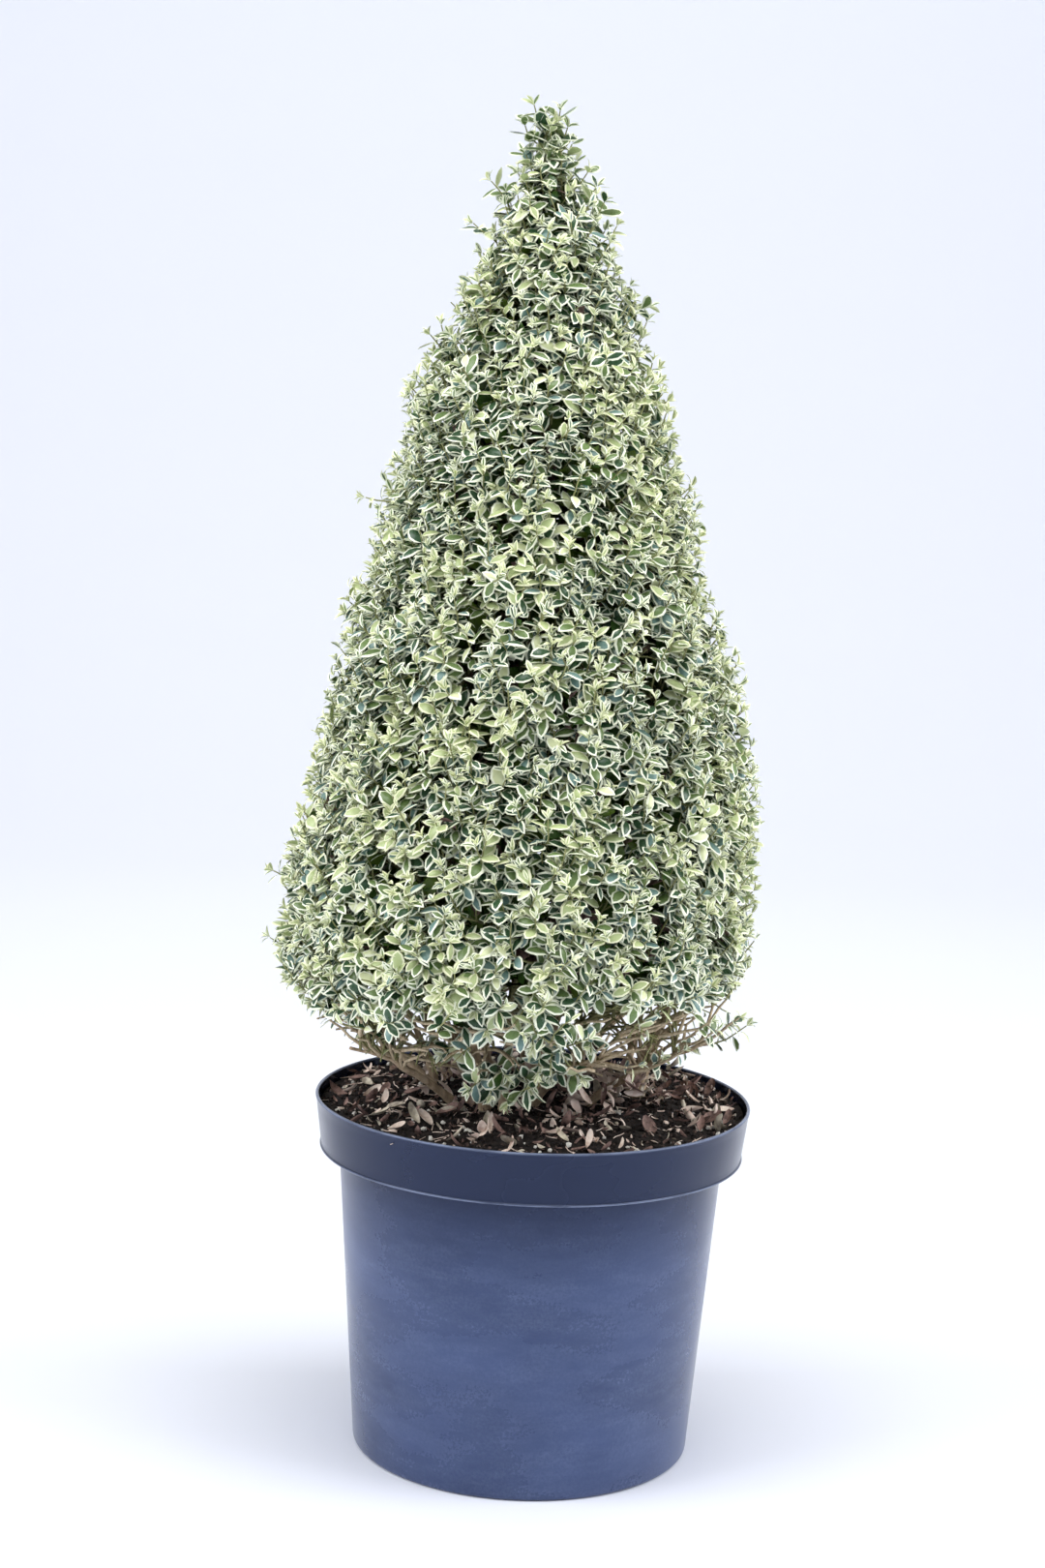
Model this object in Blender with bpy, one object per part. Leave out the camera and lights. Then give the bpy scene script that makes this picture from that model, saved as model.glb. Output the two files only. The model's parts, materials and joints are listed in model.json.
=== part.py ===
"""Boxwood cone topiary in its nursery pot, modelled in metres with +Z up.

The origin is the middle of the pot's flat underside. A round stepped pot holds a plug of potting
soil. Clumps of bare stems rise from the soil and end under one clipped crown, and a ring of low
boughs carries the loose skirt of leaves under it. Each mass of foliage is one closed solid.
"""

import math
import random

import bmesh
import bpy
from mathutils import Vector

GAP = 0.0003                  # clearance between neighbouring solids
UP = Vector((0.0, 0.0, 1.0))

# Pot: a ten-litre moulded nursery container, with a collar that steps out of the body.
POT_HEIGHT = 0.2255
POT_WALL = 0.0021
POT_FLOOR = 0.0030
BODY_RADIUS_LOW = 0.1075
BODY_RADIUS_HIGH = 0.1215
BASE_ROUNDING = 0.0030
COLLAR_HEIGHT = 0.0335
COLLAR_RADIUS_LOW = 0.1332
RIM_RADIUS = 0.1375
COLLAR_BEAD = 0.0007          # lip along the collar's lower edge
TURNED_STEPS = 52

# Soil: level under the stems, falling to the wall.
SOIL_TOP = 0.2262
SOIL_LEVEL_RADIUS = 0.0850
SOIL_EDGE = 0.2205

# The crown is a clipped cone with a bowl-shaped underside, its axis a little left of the pot's.
CROWN_X = -0.0120
CROWN_Y = 0.0
CROWN_RADIUS = 0.1570         # at its widest, leaf tips included
CROWN_WIDEST = 0.3350         # height of the widest part
CROWN_TIP = 0.8450
CROWN_SHOULDER = 1.60         # above 1 the cone's sides bulge
BOWL_DEPTH = 0.0950           # underside, as the half height of a rounded bowl
BOWL_SQUARENESS = 2.5         # 2 is an ellipse, more is a fuller bowl
ENVELOPE_SLACK = 0.0060       # leaf tips may stand this far proud of it
ENVELOPE_LIFT = 0.0040        # and this far above it
CORE_INSET = 0.0270           # the core lies this far inside the leaf tips
CORE_FLOOR = 0.2850           # flat underside of the core, over the stems
CORE_TOP = 0.7800
CORE_RADIUS_LEAST = 0.0060
CORE_RINGS = 12
CORE_SIDES = 16

# Sprays of the crown, spaced by the golden angle.
SPRAYS = 56
CORE_LEAVES = 116             # single leaves that stand straight out of the core
CORE_LEAF_SCALE = 1.1
SPRAY_LOW = 0.3100
SPRAY_HIGH = 0.7700
SPRAY_LENGTH = 0.0300
SPRAY_SUNK = 0.0090
SPRAY_RISE = math.radians(38)
LEADER_LENGTH = 0.0500
LEADER_LEAF_SCALE = 0.80
LEADER_SLACK = 0.0020         # the topmost leaf may rise this far over the tip
LEADER_SPREAD = 0.0120        # looser than the clipped sides
LEADERS = ((0.06, 0.02, 1.0), (-0.25, -0.10, 0.74), (0.30, 0.12, 0.60))   # lean x, y, length
GOLDEN_ANGLE = math.pi * (3.0 - math.sqrt(5.0))

# Twigs are three-sided; leaves are flat wedges, larger than life.
TWIG_RADIUS = 0.0016
TWIG_TIP_RADIUS = 0.0010
TWIG_SUNK = 0.0006
LEAF_LENGTH = 0.0360
LEAF_WIDTH = 0.0200
LEAF_THICKNESS = 0.0013
LEAF_SUNK = 0.0040            # of a leaf that stands in the core itself
LEAF_TIP_SUNK = 0.0010        # of the leaf at a twig's tip
LEAF_WIDEST = 0.52            # place of the widest part along the leaf
LEAF_SPREAD = math.radians(52)
LEAF_TRIES = 5                # a leaf that doesn't fit its space is turned this often
TWIG_TRIES = 8
SAMPLE_COLUMNS = 6            # where a leaf is tested for clearance: across it and along each half
SAMPLE_ROWS = 5

# Stems: clumps of rooted shoots, given as bearing and distance of the foot from the crown's axis.
STEM_SIDES = 7
STEM_RINGS = 6
STEM_FLARE = 0.45             # extra radius at the soil, as a share
STEM_TAPER = 0.24             # share of the radius lost on the way up
STEM_BOW = 1.25               # above 1 a stem starts steep and leans over as it rises
STEM_UNEVEN = 0.20            # neighbours lean by turns more and less, as a share
STEM_THINNER = 0.16           # each further stem of a clump is thinner, as a share
CLUMPS = (
    # name, bearing of the foot, its distance, stems, fan across, lean outwards, radius
    ("left", 137.0, 0.060, 3, 58.0, 0.036, 0.0033),
    ("right", 18.0, 0.079, 3, 52.0, 0.022, 0.0040),
    ("front", 252.0, 0.040, 2, 44.0, 0.024, 0.0034),
    ("back", 76.0, 0.052, 2, 50.0, 0.026, 0.0034),
    ("centre", 320.0, 0.016, 1, 0.0, 0.008, 0.0046),
)
CLUMP_SPACING = 0.0125        # between the feet in one clump

# Skirt: low boughs from the soil, each with one loose mass at its tip, evenly round the crown.
BOUGH_RADIUS = 0.0026
BOUGH_SIDES = 5
BOUGH_RINGS = 6
BOUGH_TIP = 0.2490
BOUGH_BOW = 1.15
SKIRT_FIRST_BEARING = 285.0
SKIRTS = (
    # name, bearing and distance of the foot, distance of the tip, droop of the mass's stem
    ("front", 300.0, 0.026, 0.050, 0.85),
    ("right_front", 344.0, 0.050, 0.079, 0.2),
    ("right_back", 49.0, 0.048, 0.079, 0.1),
    ("back", 108.0, 0.046, 0.079, 0.2),
    ("left_back", 170.0, 0.052, 0.079, 0.1),
    ("left_front", 218.0, 0.048, 0.079, 0.2),
)
SKIRT_REACH = 0.0540          # length of each mass's stem
SKIRT_TOP = 0.2840            # under the core's floor, rising outside it
SKIRT_TOP_RADIUS = 0.1200
SKIRT_TOP_SLOPE = 0.26
SKIRT_INNER = 0.0960          # the skirt may hang down to the soil inside this radius
SKIRT_SECTOR = math.radians(29.6)
SKIRT_TWIGS = 4
SKIRT_LEAF_SCALE = 0.74
SKIRT_TIP_LENGTH = 0.0120
SKIRT_TIP_SUNK = 0.0020
SKIRT_FLOOR_CLEAR = 0.0012    # lowest leaf over the soil

SEED = 20


# ---------------------------------------------------------------- scene and materials


def clear_scene():
    for item in list(bpy.data.objects):
        bpy.data.objects.remove(item, do_unlink=True)


def finish(name, colour, roughness, metallic=0.0):
    """A plain Principled material."""
    material = bpy.data.materials.new(name)
    material.use_nodes = True
    shader = material.node_tree.nodes["Principled BSDF"]
    shader.inputs["Base Color"].default_value = (*colour, 1.0)
    shader.inputs["Roughness"].default_value = roughness
    shader.inputs["Metallic"].default_value = metallic
    material.diffuse_color = (*colour, 1.0)
    return material


def place(name, mesh, material):
    item = bpy.data.objects.new(name, mesh)
    mesh.materials.clear()
    mesh.materials.append(material)
    bpy.context.scene.collection.objects.link(item)
    return item


# ---------------------------------------------------------------- turned pieces


def turned(name, profile, material, sharp=35.0):
    """A closed solid turned round Z. The profile runs from the axis over the top to the axis below."""
    mesh = bpy.data.meshes.new(name)
    points = [(radius, 0.0, height) for radius, height in profile]
    edges = [(i, i + 1) for i in range(len(points) - 1)]
    mesh.from_pydata(points, edges, [])
    item = place(name, mesh, material)
    screw = item.modifiers.new("turn", "SCREW")
    screw.angle = math.tau
    screw.steps = TURNED_STEPS
    screw.render_steps = TURNED_STEPS
    screw.use_merge_vertices = True
    screw.merge_threshold = 0.00001
    graph = bpy.context.evaluated_depsgraph_get()
    solid = bpy.data.meshes.new_from_object(item.evaluated_get(graph))
    item.modifiers.clear()
    item.data = solid
    solid.shade_smooth()
    solid.set_sharp_from_angle(angle=math.radians(sharp))
    return item


def wall_line(inset):
    """The pot's wall from the floor's edge up to the rim, moved inwards by a distance."""
    step = POT_HEIGHT - COLLAR_HEIGHT
    return [
        (BODY_RADIUS_LOW - inset, POT_FLOOR + BASE_ROUNDING * 0.5),
        (BODY_RADIUS_HIGH - inset, step + inset * 0.6),
        (COLLAR_RADIUS_LOW - inset, step + inset),
        (RIM_RADIUS - inset, POT_HEIGHT - POT_WALL * 0.5),
    ]


def make_pot(material):
    inner = wall_line(POT_WALL)
    step = POT_HEIGHT - COLLAR_HEIGHT
    half = POT_WALL * 0.5
    middle = RIM_RADIUS - half
    rim = [
        (middle + half * math.cos(turn), POT_HEIGHT - half + half * math.sin(turn))
        for turn in (math.radians(a) for a in (135, 90, 45))
    ]
    corner = (BODY_RADIUS_LOW - BASE_ROUNDING, BASE_ROUNDING)
    foot = [
        (corner[0] + BASE_ROUNDING * math.cos(turn), corner[1] - BASE_ROUNDING * math.sin(turn))
        for turn in (math.radians(a) for a in (0, 30, 60, 90))
    ]
    profile = [
        (0.0, POT_FLOOR),
        (inner[0][0] - BASE_ROUNDING * 0.5, POT_FLOOR),
        *inner,
        *rim,
        (RIM_RADIUS, POT_HEIGHT - half),
        (COLLAR_RADIUS_LOW, step + 2.0 * POT_WALL),
        (COLLAR_RADIUS_LOW + COLLAR_BEAD, step + 1.5 * POT_WALL),
        (COLLAR_RADIUS_LOW + COLLAR_BEAD, step + 0.5 * POT_WALL),
        (COLLAR_RADIUS_LOW - COLLAR_BEAD, step),
        (BODY_RADIUS_HIGH, step - 0.3 * POT_WALL),
        *foot,
        (0.0, 0.0),
    ]
    return turned("pot", profile, material)


def make_soil(material):
    wall = wall_line(POT_WALL + GAP)
    share = (SOIL_EDGE - wall[2][1]) / (wall[3][1] - wall[2][1])
    edge_radius = wall[2][0] + share * (wall[3][0] - wall[2][0])
    floor = POT_FLOOR + GAP
    profile = [
        (0.0, SOIL_TOP),
        (SOIL_LEVEL_RADIUS, SOIL_TOP),
        (edge_radius, SOIL_EDGE),
        wall[2],
        wall[1],
        wall[0],
        (wall[0][0] - BASE_ROUNDING * 0.5, floor),
        (0.0, floor),
    ]
    return turned("soil", profile, material)


# ---------------------------------------------------------------- limbs


def heading_of(bearing):
    """A level unit vector, with the bearing in radians from +X."""
    return Vector((math.cos(bearing), math.sin(bearing), 0.0))


def crown_point(bearing, distance, height):
    """A point given round the crown's axis, with the bearing in radians from +X."""
    return Vector((
        CROWN_X + distance * math.cos(bearing),
        CROWN_Y + distance * math.sin(bearing),
        height,
    ))


def limb_path(foot, tip, rings, bow):
    """Points from foot to tip. The limb starts steep and leans over as it rises."""
    across = Vector((tip.x - foot.x, tip.y - foot.y, 0.0))
    points = []
    for i in range(rings):
        share = i / (rings - 1)
        side = share ** bow
        points.append(Vector((
            foot.x + across.x * side,
            foot.y + across.y * side,
            foot.z + (tip.z - foot.z) * share,
        )))
    return points


def limb(name, path, radii, sides, material, level_tip):
    """One tapering limb with a level foot, and a level or a square tip."""
    bm = bmesh.new()
    rings = []
    last = len(path) - 1
    for i, centre in enumerate(path):
        along = (path[min(i + 1, last)] - path[max(i - 1, 0)]).normalized()
        level = i == 0 or (i == last and level_tip)
        side = along.cross(Vector((0.0, 1.0, 0.0))).normalized()
        other = along.cross(side)
        ring = []
        for k in range(sides):
            turn = math.tau * k / sides
            spoke = (side * math.cos(turn) + other * math.sin(turn)) * radii[i]
            if level:
                spoke -= along * (spoke.z / along.z)
            ring.append(bm.verts.new(centre + spoke))
        rings.append(ring)
    for lower, upper in zip(rings, rings[1:]):
        for k in range(sides):
            n = (k + 1) % sides
            bm.faces.new((lower[k], upper[k], upper[n], lower[n]))
    bm.faces.new(rings[0])
    bm.faces.new(list(reversed(rings[-1])))
    bmesh.ops.recalc_face_normals(bm, faces=bm.faces)
    mesh = bpy.data.meshes.new(name)
    bm.to_mesh(mesh)
    bm.free()
    mesh.shade_smooth()
    mesh.set_sharp_from_angle(angle=math.radians(50))
    return place(name, mesh, material)


def taper(radius, rings):
    """Radii from the flared foot to the tip."""
    radii = []
    for i in range(rings):
        share = i / (rings - 1)
        flare = STEM_FLARE * (1.0 - share) ** 6
        radii.append(radius * (1.0 + flare - STEM_TAPER * share))
    return radii


def make_stems(material):
    """Every clump's stems, fanned from neighbouring feet. Returns the axes with their radii."""
    axes = []
    for name, bearing, distance, count, fan, lean, radius in CLUMPS:
        for i in range(count):
            across = i - (count - 1) / 2.0
            towards = math.radians(bearing)
            foot = crown_point(towards, distance, SOIL_TOP + GAP)
            foot += heading_of(towards + math.pi / 2.0) * across * CLUMP_SPACING
            leaning = towards + math.radians(fan) * across / max(count - 1, 1)
            uneven = STEM_UNEVEN if i % 2 else -STEM_UNEVEN
            tip = foot + heading_of(leaning) * lean * (1.0 + uneven)
            tip.z = CORE_FLOOR - GAP
            path = limb_path(foot, tip, STEM_RINGS, STEM_BOW)
            radii = taper(radius * (1.0 - STEM_THINNER * i), STEM_RINGS)
            limb(f"stem_{name}_{i + 1}", path, radii, STEM_SIDES, material, True)
            axes.append((path, radii))
    return axes


def make_boughs(material):
    """The low boughs. Returns their axes, and the root and direction of each skirt mass."""
    axes = []
    roots = []
    for i, (name, foot_bearing, foot_distance, reach, droop) in enumerate(SKIRTS):
        bearing = math.radians(SKIRT_FIRST_BEARING) + math.tau * i / len(SKIRTS)
        foot = crown_point(math.radians(foot_bearing), foot_distance, SOIL_TOP + GAP)
        tip = crown_point(bearing, reach, BOUGH_TIP)
        path = limb_path(foot, tip, BOUGH_RINGS, BOUGH_BOW)
        radii = taper(BOUGH_RADIUS, BOUGH_RINGS)
        limb(f"bough_{name}_low", path, radii, BOUGH_SIDES, material, False)
        axes.append((path, radii))
        along = (path[-1] - path[-2]).normalized()
        roots.append((name, tip + along * GAP, along, bearing, droop))
    return axes, roots


# ---------------------------------------------------------------- foliage shapes


def envelope(height):
    """Radius that the leaf tips reach at a height."""
    if height >= CROWN_WIDEST:
        share = min((height - CROWN_WIDEST) / (CROWN_TIP - CROWN_WIDEST), 1.0)
        return CROWN_RADIUS * (1.0 - share ** CROWN_SHOULDER)
    share = min((CROWN_WIDEST - height) / BOWL_DEPTH, 1.0)
    return CROWN_RADIUS * (1.0 - share ** BOWL_SQUARENESS) ** (1.0 / BOWL_SQUARENESS)


def core_radius(height):
    return max(envelope(height) - CORE_INSET, CORE_RADIUS_LEAST)


def skirt_top(distance):
    """Height that parts the crown's leaves from the skirt's, at a distance from the axis."""
    return SKIRT_TOP + SKIRT_TOP_SLOPE * max(distance - SKIRT_TOP_RADIUS, 0.0)


def clear_of(point, axes, margin):
    """True where a point stands clear of every limb."""
    for path, radii in axes:
        for i in range(len(path) - 1):
            a, b = path[i], path[i + 1]
            run = b - a
            share = max(0.0, min(1.0, (point - a).dot(run) / run.length_squared))
            if (point - a - run * share).length < radii[i] + margin:
                return False
    return True


def solid_piece(name, points, faces):
    mesh = bpy.data.meshes.new(name)
    mesh.from_pydata([tuple(p) for p in points], [], faces)
    bm = bmesh.new()
    bm.from_mesh(mesh)
    bmesh.ops.recalc_face_normals(bm, faces=bm.faces)
    bm.to_mesh(mesh)
    bm.free()
    return bpy.data.objects.new(name, mesh)


def frame_of(direction, up):
    side = direction.cross(up)
    if side.length < 1e-4:
        side = direction.cross(Vector((1.0, 0.0, 0.0)))
    side.normalize()
    return side, side.cross(direction).normalized()


def twig_points(path, radii):
    """Three corners round each point of a twig's axis."""
    points = []
    last = len(path) - 1
    for i, centre in enumerate(path):
        along = (path[min(i + 1, last)] - path[max(i - 1, 0)]).normalized()
        side, other = frame_of(along, Vector((0.0, 0.0, 1.0)))
        for k in range(3):
            turn = math.tau * k / 3.0
            points.append(centre + (side * math.cos(turn) + other * math.sin(turn)) * radii[i])
    return points


def twig(path, radii):
    points = twig_points(path, radii)
    faces = [(0, 1, 2)]
    for i in range(len(path) - 1):
        for k in range(3):
            n = (k + 1) % 3
            low = 3 * i
            faces.append((low + k, low + 3 + k, low + 3 + n, low + n))
    top = 3 * (len(path) - 1)
    faces.append((top, top + 2, top + 1))
    return solid_piece("twig", points, faces)


def leaf_points(root, direction, facing, size):
    """Six corners: two at the root, two at the widest part, the ridge over it and the tip."""
    length = LEAF_LENGTH * size
    width = LEAF_WIDTH * size
    side, normal = frame_of(direction, facing)
    if normal.dot(facing) < 0.0:
        normal = -normal
    back = root - direction * TWIG_SUNK
    middle = root + direction * length * LEAF_WIDEST
    half = normal * LEAF_THICKNESS * 0.5
    return [
        back + half,
        back - half,
        middle + side * width * 0.5 - half,
        middle - side * width * 0.5 - half,
        middle + half,
        root + direction * length - half,
    ]


LEAF_FACES = (
    (5, 2, 3), (3, 2, 1), (5, 4, 2), (5, 3, 4), (4, 0, 2), (4, 3, 0), (2, 0, 1), (3, 1, 0),
)


def leaf(points):
    return solid_piece("leaf", points, LEAF_FACES)


def twig_samples(points):
    """Points along a twig's three ridges, past its root."""
    found = points[3:]
    for i in range(3, len(points)):
        found += [points[i].lerp(points[i - 3], share) for share in (0.25, 0.5)]
    return found


def leaf_samples(points):
    """Points all over a leaf, a few millimetres apart."""
    found = [points[4]]
    for column in range(SAMPLE_COLUMNS + 1):
        wide = points[2].lerp(points[3], column / SAMPLE_COLUMNS)
        for end in (points[1], points[5]):
            found += [wide.lerp(end, row / SAMPLE_ROWS) for row in range(SAMPLE_ROWS)]
    return found + [points[5]]


def bent(root, direction, length, lift, steps=2):
    """A twig's axis, curving towards a second direction."""
    path = [root]
    for i in range(steps):
        heading = (direction + lift * (i / steps)).normalized()
        path.append(path[-1] + heading * (length / steps))
    return path


def leafy_twig(path, facing, pairs, allowed, rng, scale=1.0, first=0.45, flat=False):
    """A twig with opposite pairs of leaves, each pair crossing the last, and one leaf at its tip.
    On a flat twig all pairs lie to its two sides. A leaf that isn't allowed is skipped. Returns no
    pieces where the twig itself isn't allowed."""
    radii = [
        TWIG_RADIUS + (TWIG_TIP_RADIUS - TWIG_RADIUS) * i / (len(path) - 1)
        for i in range(len(path))
    ]
    if not all(allowed(point) for point in twig_samples(twig_points(path, radii))):
        return []
    pieces = [twig(path, radii)]
    along = (path[-1] - path[-2]).normalized()
    side, other = frame_of(along, facing)
    turn = rng.uniform(-0.3, 0.3) if flat else rng.uniform(0.0, math.pi)
    unsettled = 0.2 if flat else 0.45
    for pair in range(pairs):
        share = first + (0.96 - first) * pair / max(pairs - 1, 1)
        at = share * (len(path) - 1)
        low = min(int(at), len(path) - 2)
        root = path[low].lerp(path[low + 1], at - low)
        for way in (0.0, math.pi):
            for _ in range(LEAF_TRIES):
                spread = LEAF_SPREAD * rng.uniform(0.8, 1.35)
                round_by = turn + way + (0.0 if flat else pair * math.pi * 0.5)
                round_by += rng.uniform(-unsettled, unsettled)
                spoke = side * math.cos(round_by) + other * math.sin(round_by)
                direction = (along * math.cos(spread) + spoke * math.sin(spread)).normalized()
                tilt = facing + Vector([rng.uniform(-unsettled, unsettled) for _ in range(3)])
                size = scale * rng.uniform(0.86, 1.1)
                points = leaf_points(root, direction, tilt.normalized(), size)
                if all(allowed(point) for point in leaf_samples(points)):
                    pieces.append(leaf(points))
                    break
    size = scale * rng.uniform(0.8, 1.0)
    points = leaf_points(path[-1] - along * LEAF_TIP_SUNK, along, facing, size)
    if all(allowed(point) for point in leaf_samples(points)):
        pieces.append(leaf(points))
    return pieces


# ---------------------------------------------------------------- joining a mass


def shell_volume(faces):
    total = 0.0
    for face in faces:
        corners = [v.co for v in face.verts]
        for i in range(1, len(corners) - 1):
            total += corners[0].dot(corners[i].cross(corners[i + 1]))
    return total / 6.0


def keep_one_shell(mesh):
    """Fills sealed hollows and drops loose scraps, so that one closed body is left. A scrap may
    still meet the body along an edge, which more than two faces then share."""
    bm = bmesh.new()
    bm.from_mesh(mesh)
    bmesh.ops.remove_doubles(bm, verts=bm.verts, dist=1e-6)
    bmesh.ops.dissolve_degenerate(bm, edges=bm.edges, dist=1e-6)
    bm.faces.ensure_lookup_table()
    unseen = set(bm.faces)
    shells = []
    while unseen:
        start = unseen.pop()
        shell = [start]
        stack = [start]
        while stack:
            face = stack.pop()
            for edge in face.edges:
                if len(edge.link_faces) > 2:
                    continue
                for near in edge.link_faces:
                    if near in unseen:
                        unseen.discard(near)
                        shell.append(near)
                        stack.append(near)
        shells.append(shell)
    shells.sort(key=shell_volume)
    spare = [face for shell in shells[:-1] for face in shell]
    bmesh.ops.delete(bm, geom=spare, context="FACES")
    bmesh.ops.triangulate(bm, faces=bm.faces)
    bm.to_mesh(mesh)
    bm.free()


def fused(name, pieces, material):
    """One closed solid from a mass's first piece and all that stands on it."""
    body = pieces[0]
    body.name = name
    bpy.context.scene.collection.objects.link(body)
    others = bpy.data.collections.new(name + "_pieces")
    bpy.context.scene.collection.children.link(others)
    for piece in pieces[1:]:
        others.objects.link(piece)
    union = body.modifiers.new("join", "BOOLEAN")
    union.operation = "UNION"
    union.operand_type = "COLLECTION"
    union.collection = others
    union.solver = "EXACT"
    graph = bpy.context.evaluated_depsgraph_get()
    joined = bpy.data.meshes.new_from_object(body.evaluated_get(graph))
    body.modifiers.clear()
    for piece in pieces[1:]:
        bpy.data.objects.remove(piece, do_unlink=True)
    bpy.data.collections.remove(others)
    keep_one_shell(joined)
    joined.materials.clear()
    joined.materials.append(material)
    body.data = joined
    return body


# ---------------------------------------------------------------- the masses


def core_piece():
    """The crown's solid heart: the envelope drawn in, with a flat floor and a small flat top."""
    points = []
    faces = []
    for i in range(CORE_RINGS):
        height = CORE_FLOOR + (CORE_TOP - CORE_FLOOR) * i / (CORE_RINGS - 1)
        radius = core_radius(height)
        for k in range(CORE_SIDES):
            points.append(crown_point(math.tau * k / CORE_SIDES, radius, height))
    for i in range(CORE_RINGS - 1):
        for k in range(CORE_SIDES):
            n = (k + 1) % CORE_SIDES
            low = i * CORE_SIDES
            faces.append((low + k, low + n, low + CORE_SIDES + n, low + CORE_SIDES + k))
    faces.append(tuple(reversed(range(CORE_SIDES))))
    faces.append(tuple(range((CORE_RINGS - 1) * CORE_SIDES, CORE_RINGS * CORE_SIDES)))
    return solid_piece("core", points, faces)


def spray_heights(count):
    """Heights that share the crown's surface out evenly."""
    steps = 400
    lengths = []
    total = 0.0
    for i in range(steps):
        height = SPRAY_LOW + (SPRAY_HIGH - SPRAY_LOW) * (i + 0.5) / steps
        total += envelope(height) + 0.010
        lengths.append((total, height))
    heights = []
    for k in range(count):
        wanted = total * (k + 0.5) / count
        heights.append(next(height for sum_so_far, height in lengths if sum_so_far >= wanted))
    return heights


def make_crown(material, rng):
    """The clipped cone: its core with sprays standing out of it, and the leader at its tip."""

    def allowed(point):
        radius = math.hypot(point.x - CROWN_X, point.y - CROWN_Y)
        if not skirt_top(radius) + CORE_FLOOR - SKIRT_TOP < point.z < CROWN_TIP + LEADER_SLACK:
            return False
        slack = LEADER_SPREAD if point.z > CORE_TOP else ENVELOPE_SLACK
        return radius < envelope(point.z - ENVELOPE_LIFT) + slack

    pieces = [core_piece()]
    for k, height in enumerate(spray_heights(SPRAYS)):
        bearing = k * GOLDEN_ANGLE + rng.uniform(-0.12, 0.12)
        outward = heading_of(bearing)
        low = max(0.0, (CROWN_WIDEST - height) / (CROWN_WIDEST - SPRAY_LOW))
        rise = SPRAY_RISE * rng.uniform(0.6, 1.25) * (1.0 - 1.1 * low)
        direction = outward * math.cos(rise) + UP * math.sin(rise)
        root = crown_point(bearing, core_radius(height), height) - direction * SPRAY_SUNK
        direction += heading_of(bearing + math.pi / 2.0) * rng.uniform(-0.25, 0.25)
        length = SPRAY_LENGTH * rng.uniform(0.85, 1.15)
        path = bent(root, direction.normalized(), length, UP * 0.5)
        facing = (outward + UP * 0.3).normalized()
        pieces += leafy_twig(path, facing, 2, allowed, rng, first=0.55)
    for k, height in enumerate(spray_heights(CORE_LEAVES)):
        bearing = (k + 0.5) * GOLDEN_ANGLE + rng.uniform(-0.2, 0.2)
        outward = heading_of(bearing)
        sideways = heading_of(bearing + math.pi / 2.0)
        root = crown_point(bearing, core_radius(height) - LEAF_SUNK, height)
        for _ in range(LEAF_TRIES):
            direction = outward * rng.uniform(0.35, 0.6) + sideways * rng.uniform(-0.9, 0.9)
            direction.z = rng.uniform(-0.5, 0.9)
            facing = outward + sideways * rng.uniform(-0.4, 0.4) + UP * 0.3
            points = leaf_points(root, direction.normalized(), facing.normalized(), CORE_LEAF_SCALE)
            if all(allowed(point) for point in leaf_samples(points)):
                pieces.append(leaf(points))
                break
    root = crown_point(0.0, 0.0, CORE_TOP - SPRAY_SUNK)
    for lean_x, lean_y, share in LEADERS:
        heading = Vector((lean_x, lean_y, 1.0)).normalized()
        path = bent(root, heading, LEADER_LENGTH * share, UP * 0.2, 3)
        facing = Vector((0.2, -0.6, 0.8)).normalized()
        pieces += leafy_twig(path, facing, 3, allowed, rng, LEADER_LEAF_SCALE, first=0.3)
    return fused("foliage_crown", pieces, material)


def make_skirt(name, root, along, bearing, droop, axes, material, rng):
    """A loose mass: one stem out of the bough's tip, with leafy twigs to both sides in turn."""

    def allowed(point):
        x, y = point.x - CROWN_X, point.y - CROWN_Y
        radius = math.hypot(x, y)
        if not SOIL_TOP + SKIRT_FLOOR_CLEAR < point.z < skirt_top(radius):
            return False
        off = (math.atan2(y, x) - bearing + math.pi) % math.tau - math.pi
        if abs(off) > SKIRT_SECTOR or radius > max(envelope(point.z) + ENVELOPE_SLACK, SKIRT_INNER):
            return False
        return clear_of(point, axes, 2.0 * GAP)

    outward = heading_of(bearing)
    side = heading_of(bearing + math.pi / 2.0)
    path = bent(root, along, SKIRT_REACH, outward * 0.6 - UP * droop, 4)
    radii = [TWIG_RADIUS * (1.2 - 0.15 * i) for i in range(len(path))]
    pieces = [twig(path, radii)]
    facing = (outward * 0.4 + UP).normalized()
    for i in range(SKIRT_TWIGS):
        share = 0.10 + 0.84 * i / (SKIRT_TWIGS - 1)
        at = share * (len(path) - 1)
        low = min(int(at), len(path) - 2)
        start = path[low].lerp(path[low + 1], at - low)
        way = 1.0 if i % 2 else -1.0
        for _ in range(TWIG_TRIES):
            heading = outward * rng.uniform(0.1, 0.6) + side * way * rng.uniform(0.5, 1.0)
            heading.z = rng.uniform(0.1, 0.6) - droop
            length = SKIRT_REACH * (0.85 - 0.50 * share) * rng.uniform(0.6, 1.1)
            branch = bent(start, heading.normalized(), length, UP * -0.1)
            grown = leafy_twig(branch, facing, 2, allowed, rng, SKIRT_LEAF_SCALE, flat=True)
            if len(grown) > 2:
                pieces += grown
                break
    onward = (path[-1] - path[-2]).normalized()
    tip = bent(path[-1] - onward * SKIRT_TIP_SUNK, onward, SKIRT_TIP_LENGTH, UP * 0.1)
    pieces += leafy_twig(tip, facing, 1, allowed, rng, SKIRT_LEAF_SCALE, flat=True)
    return fused(f"foliage_skirt_{name}", pieces, material)


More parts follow.
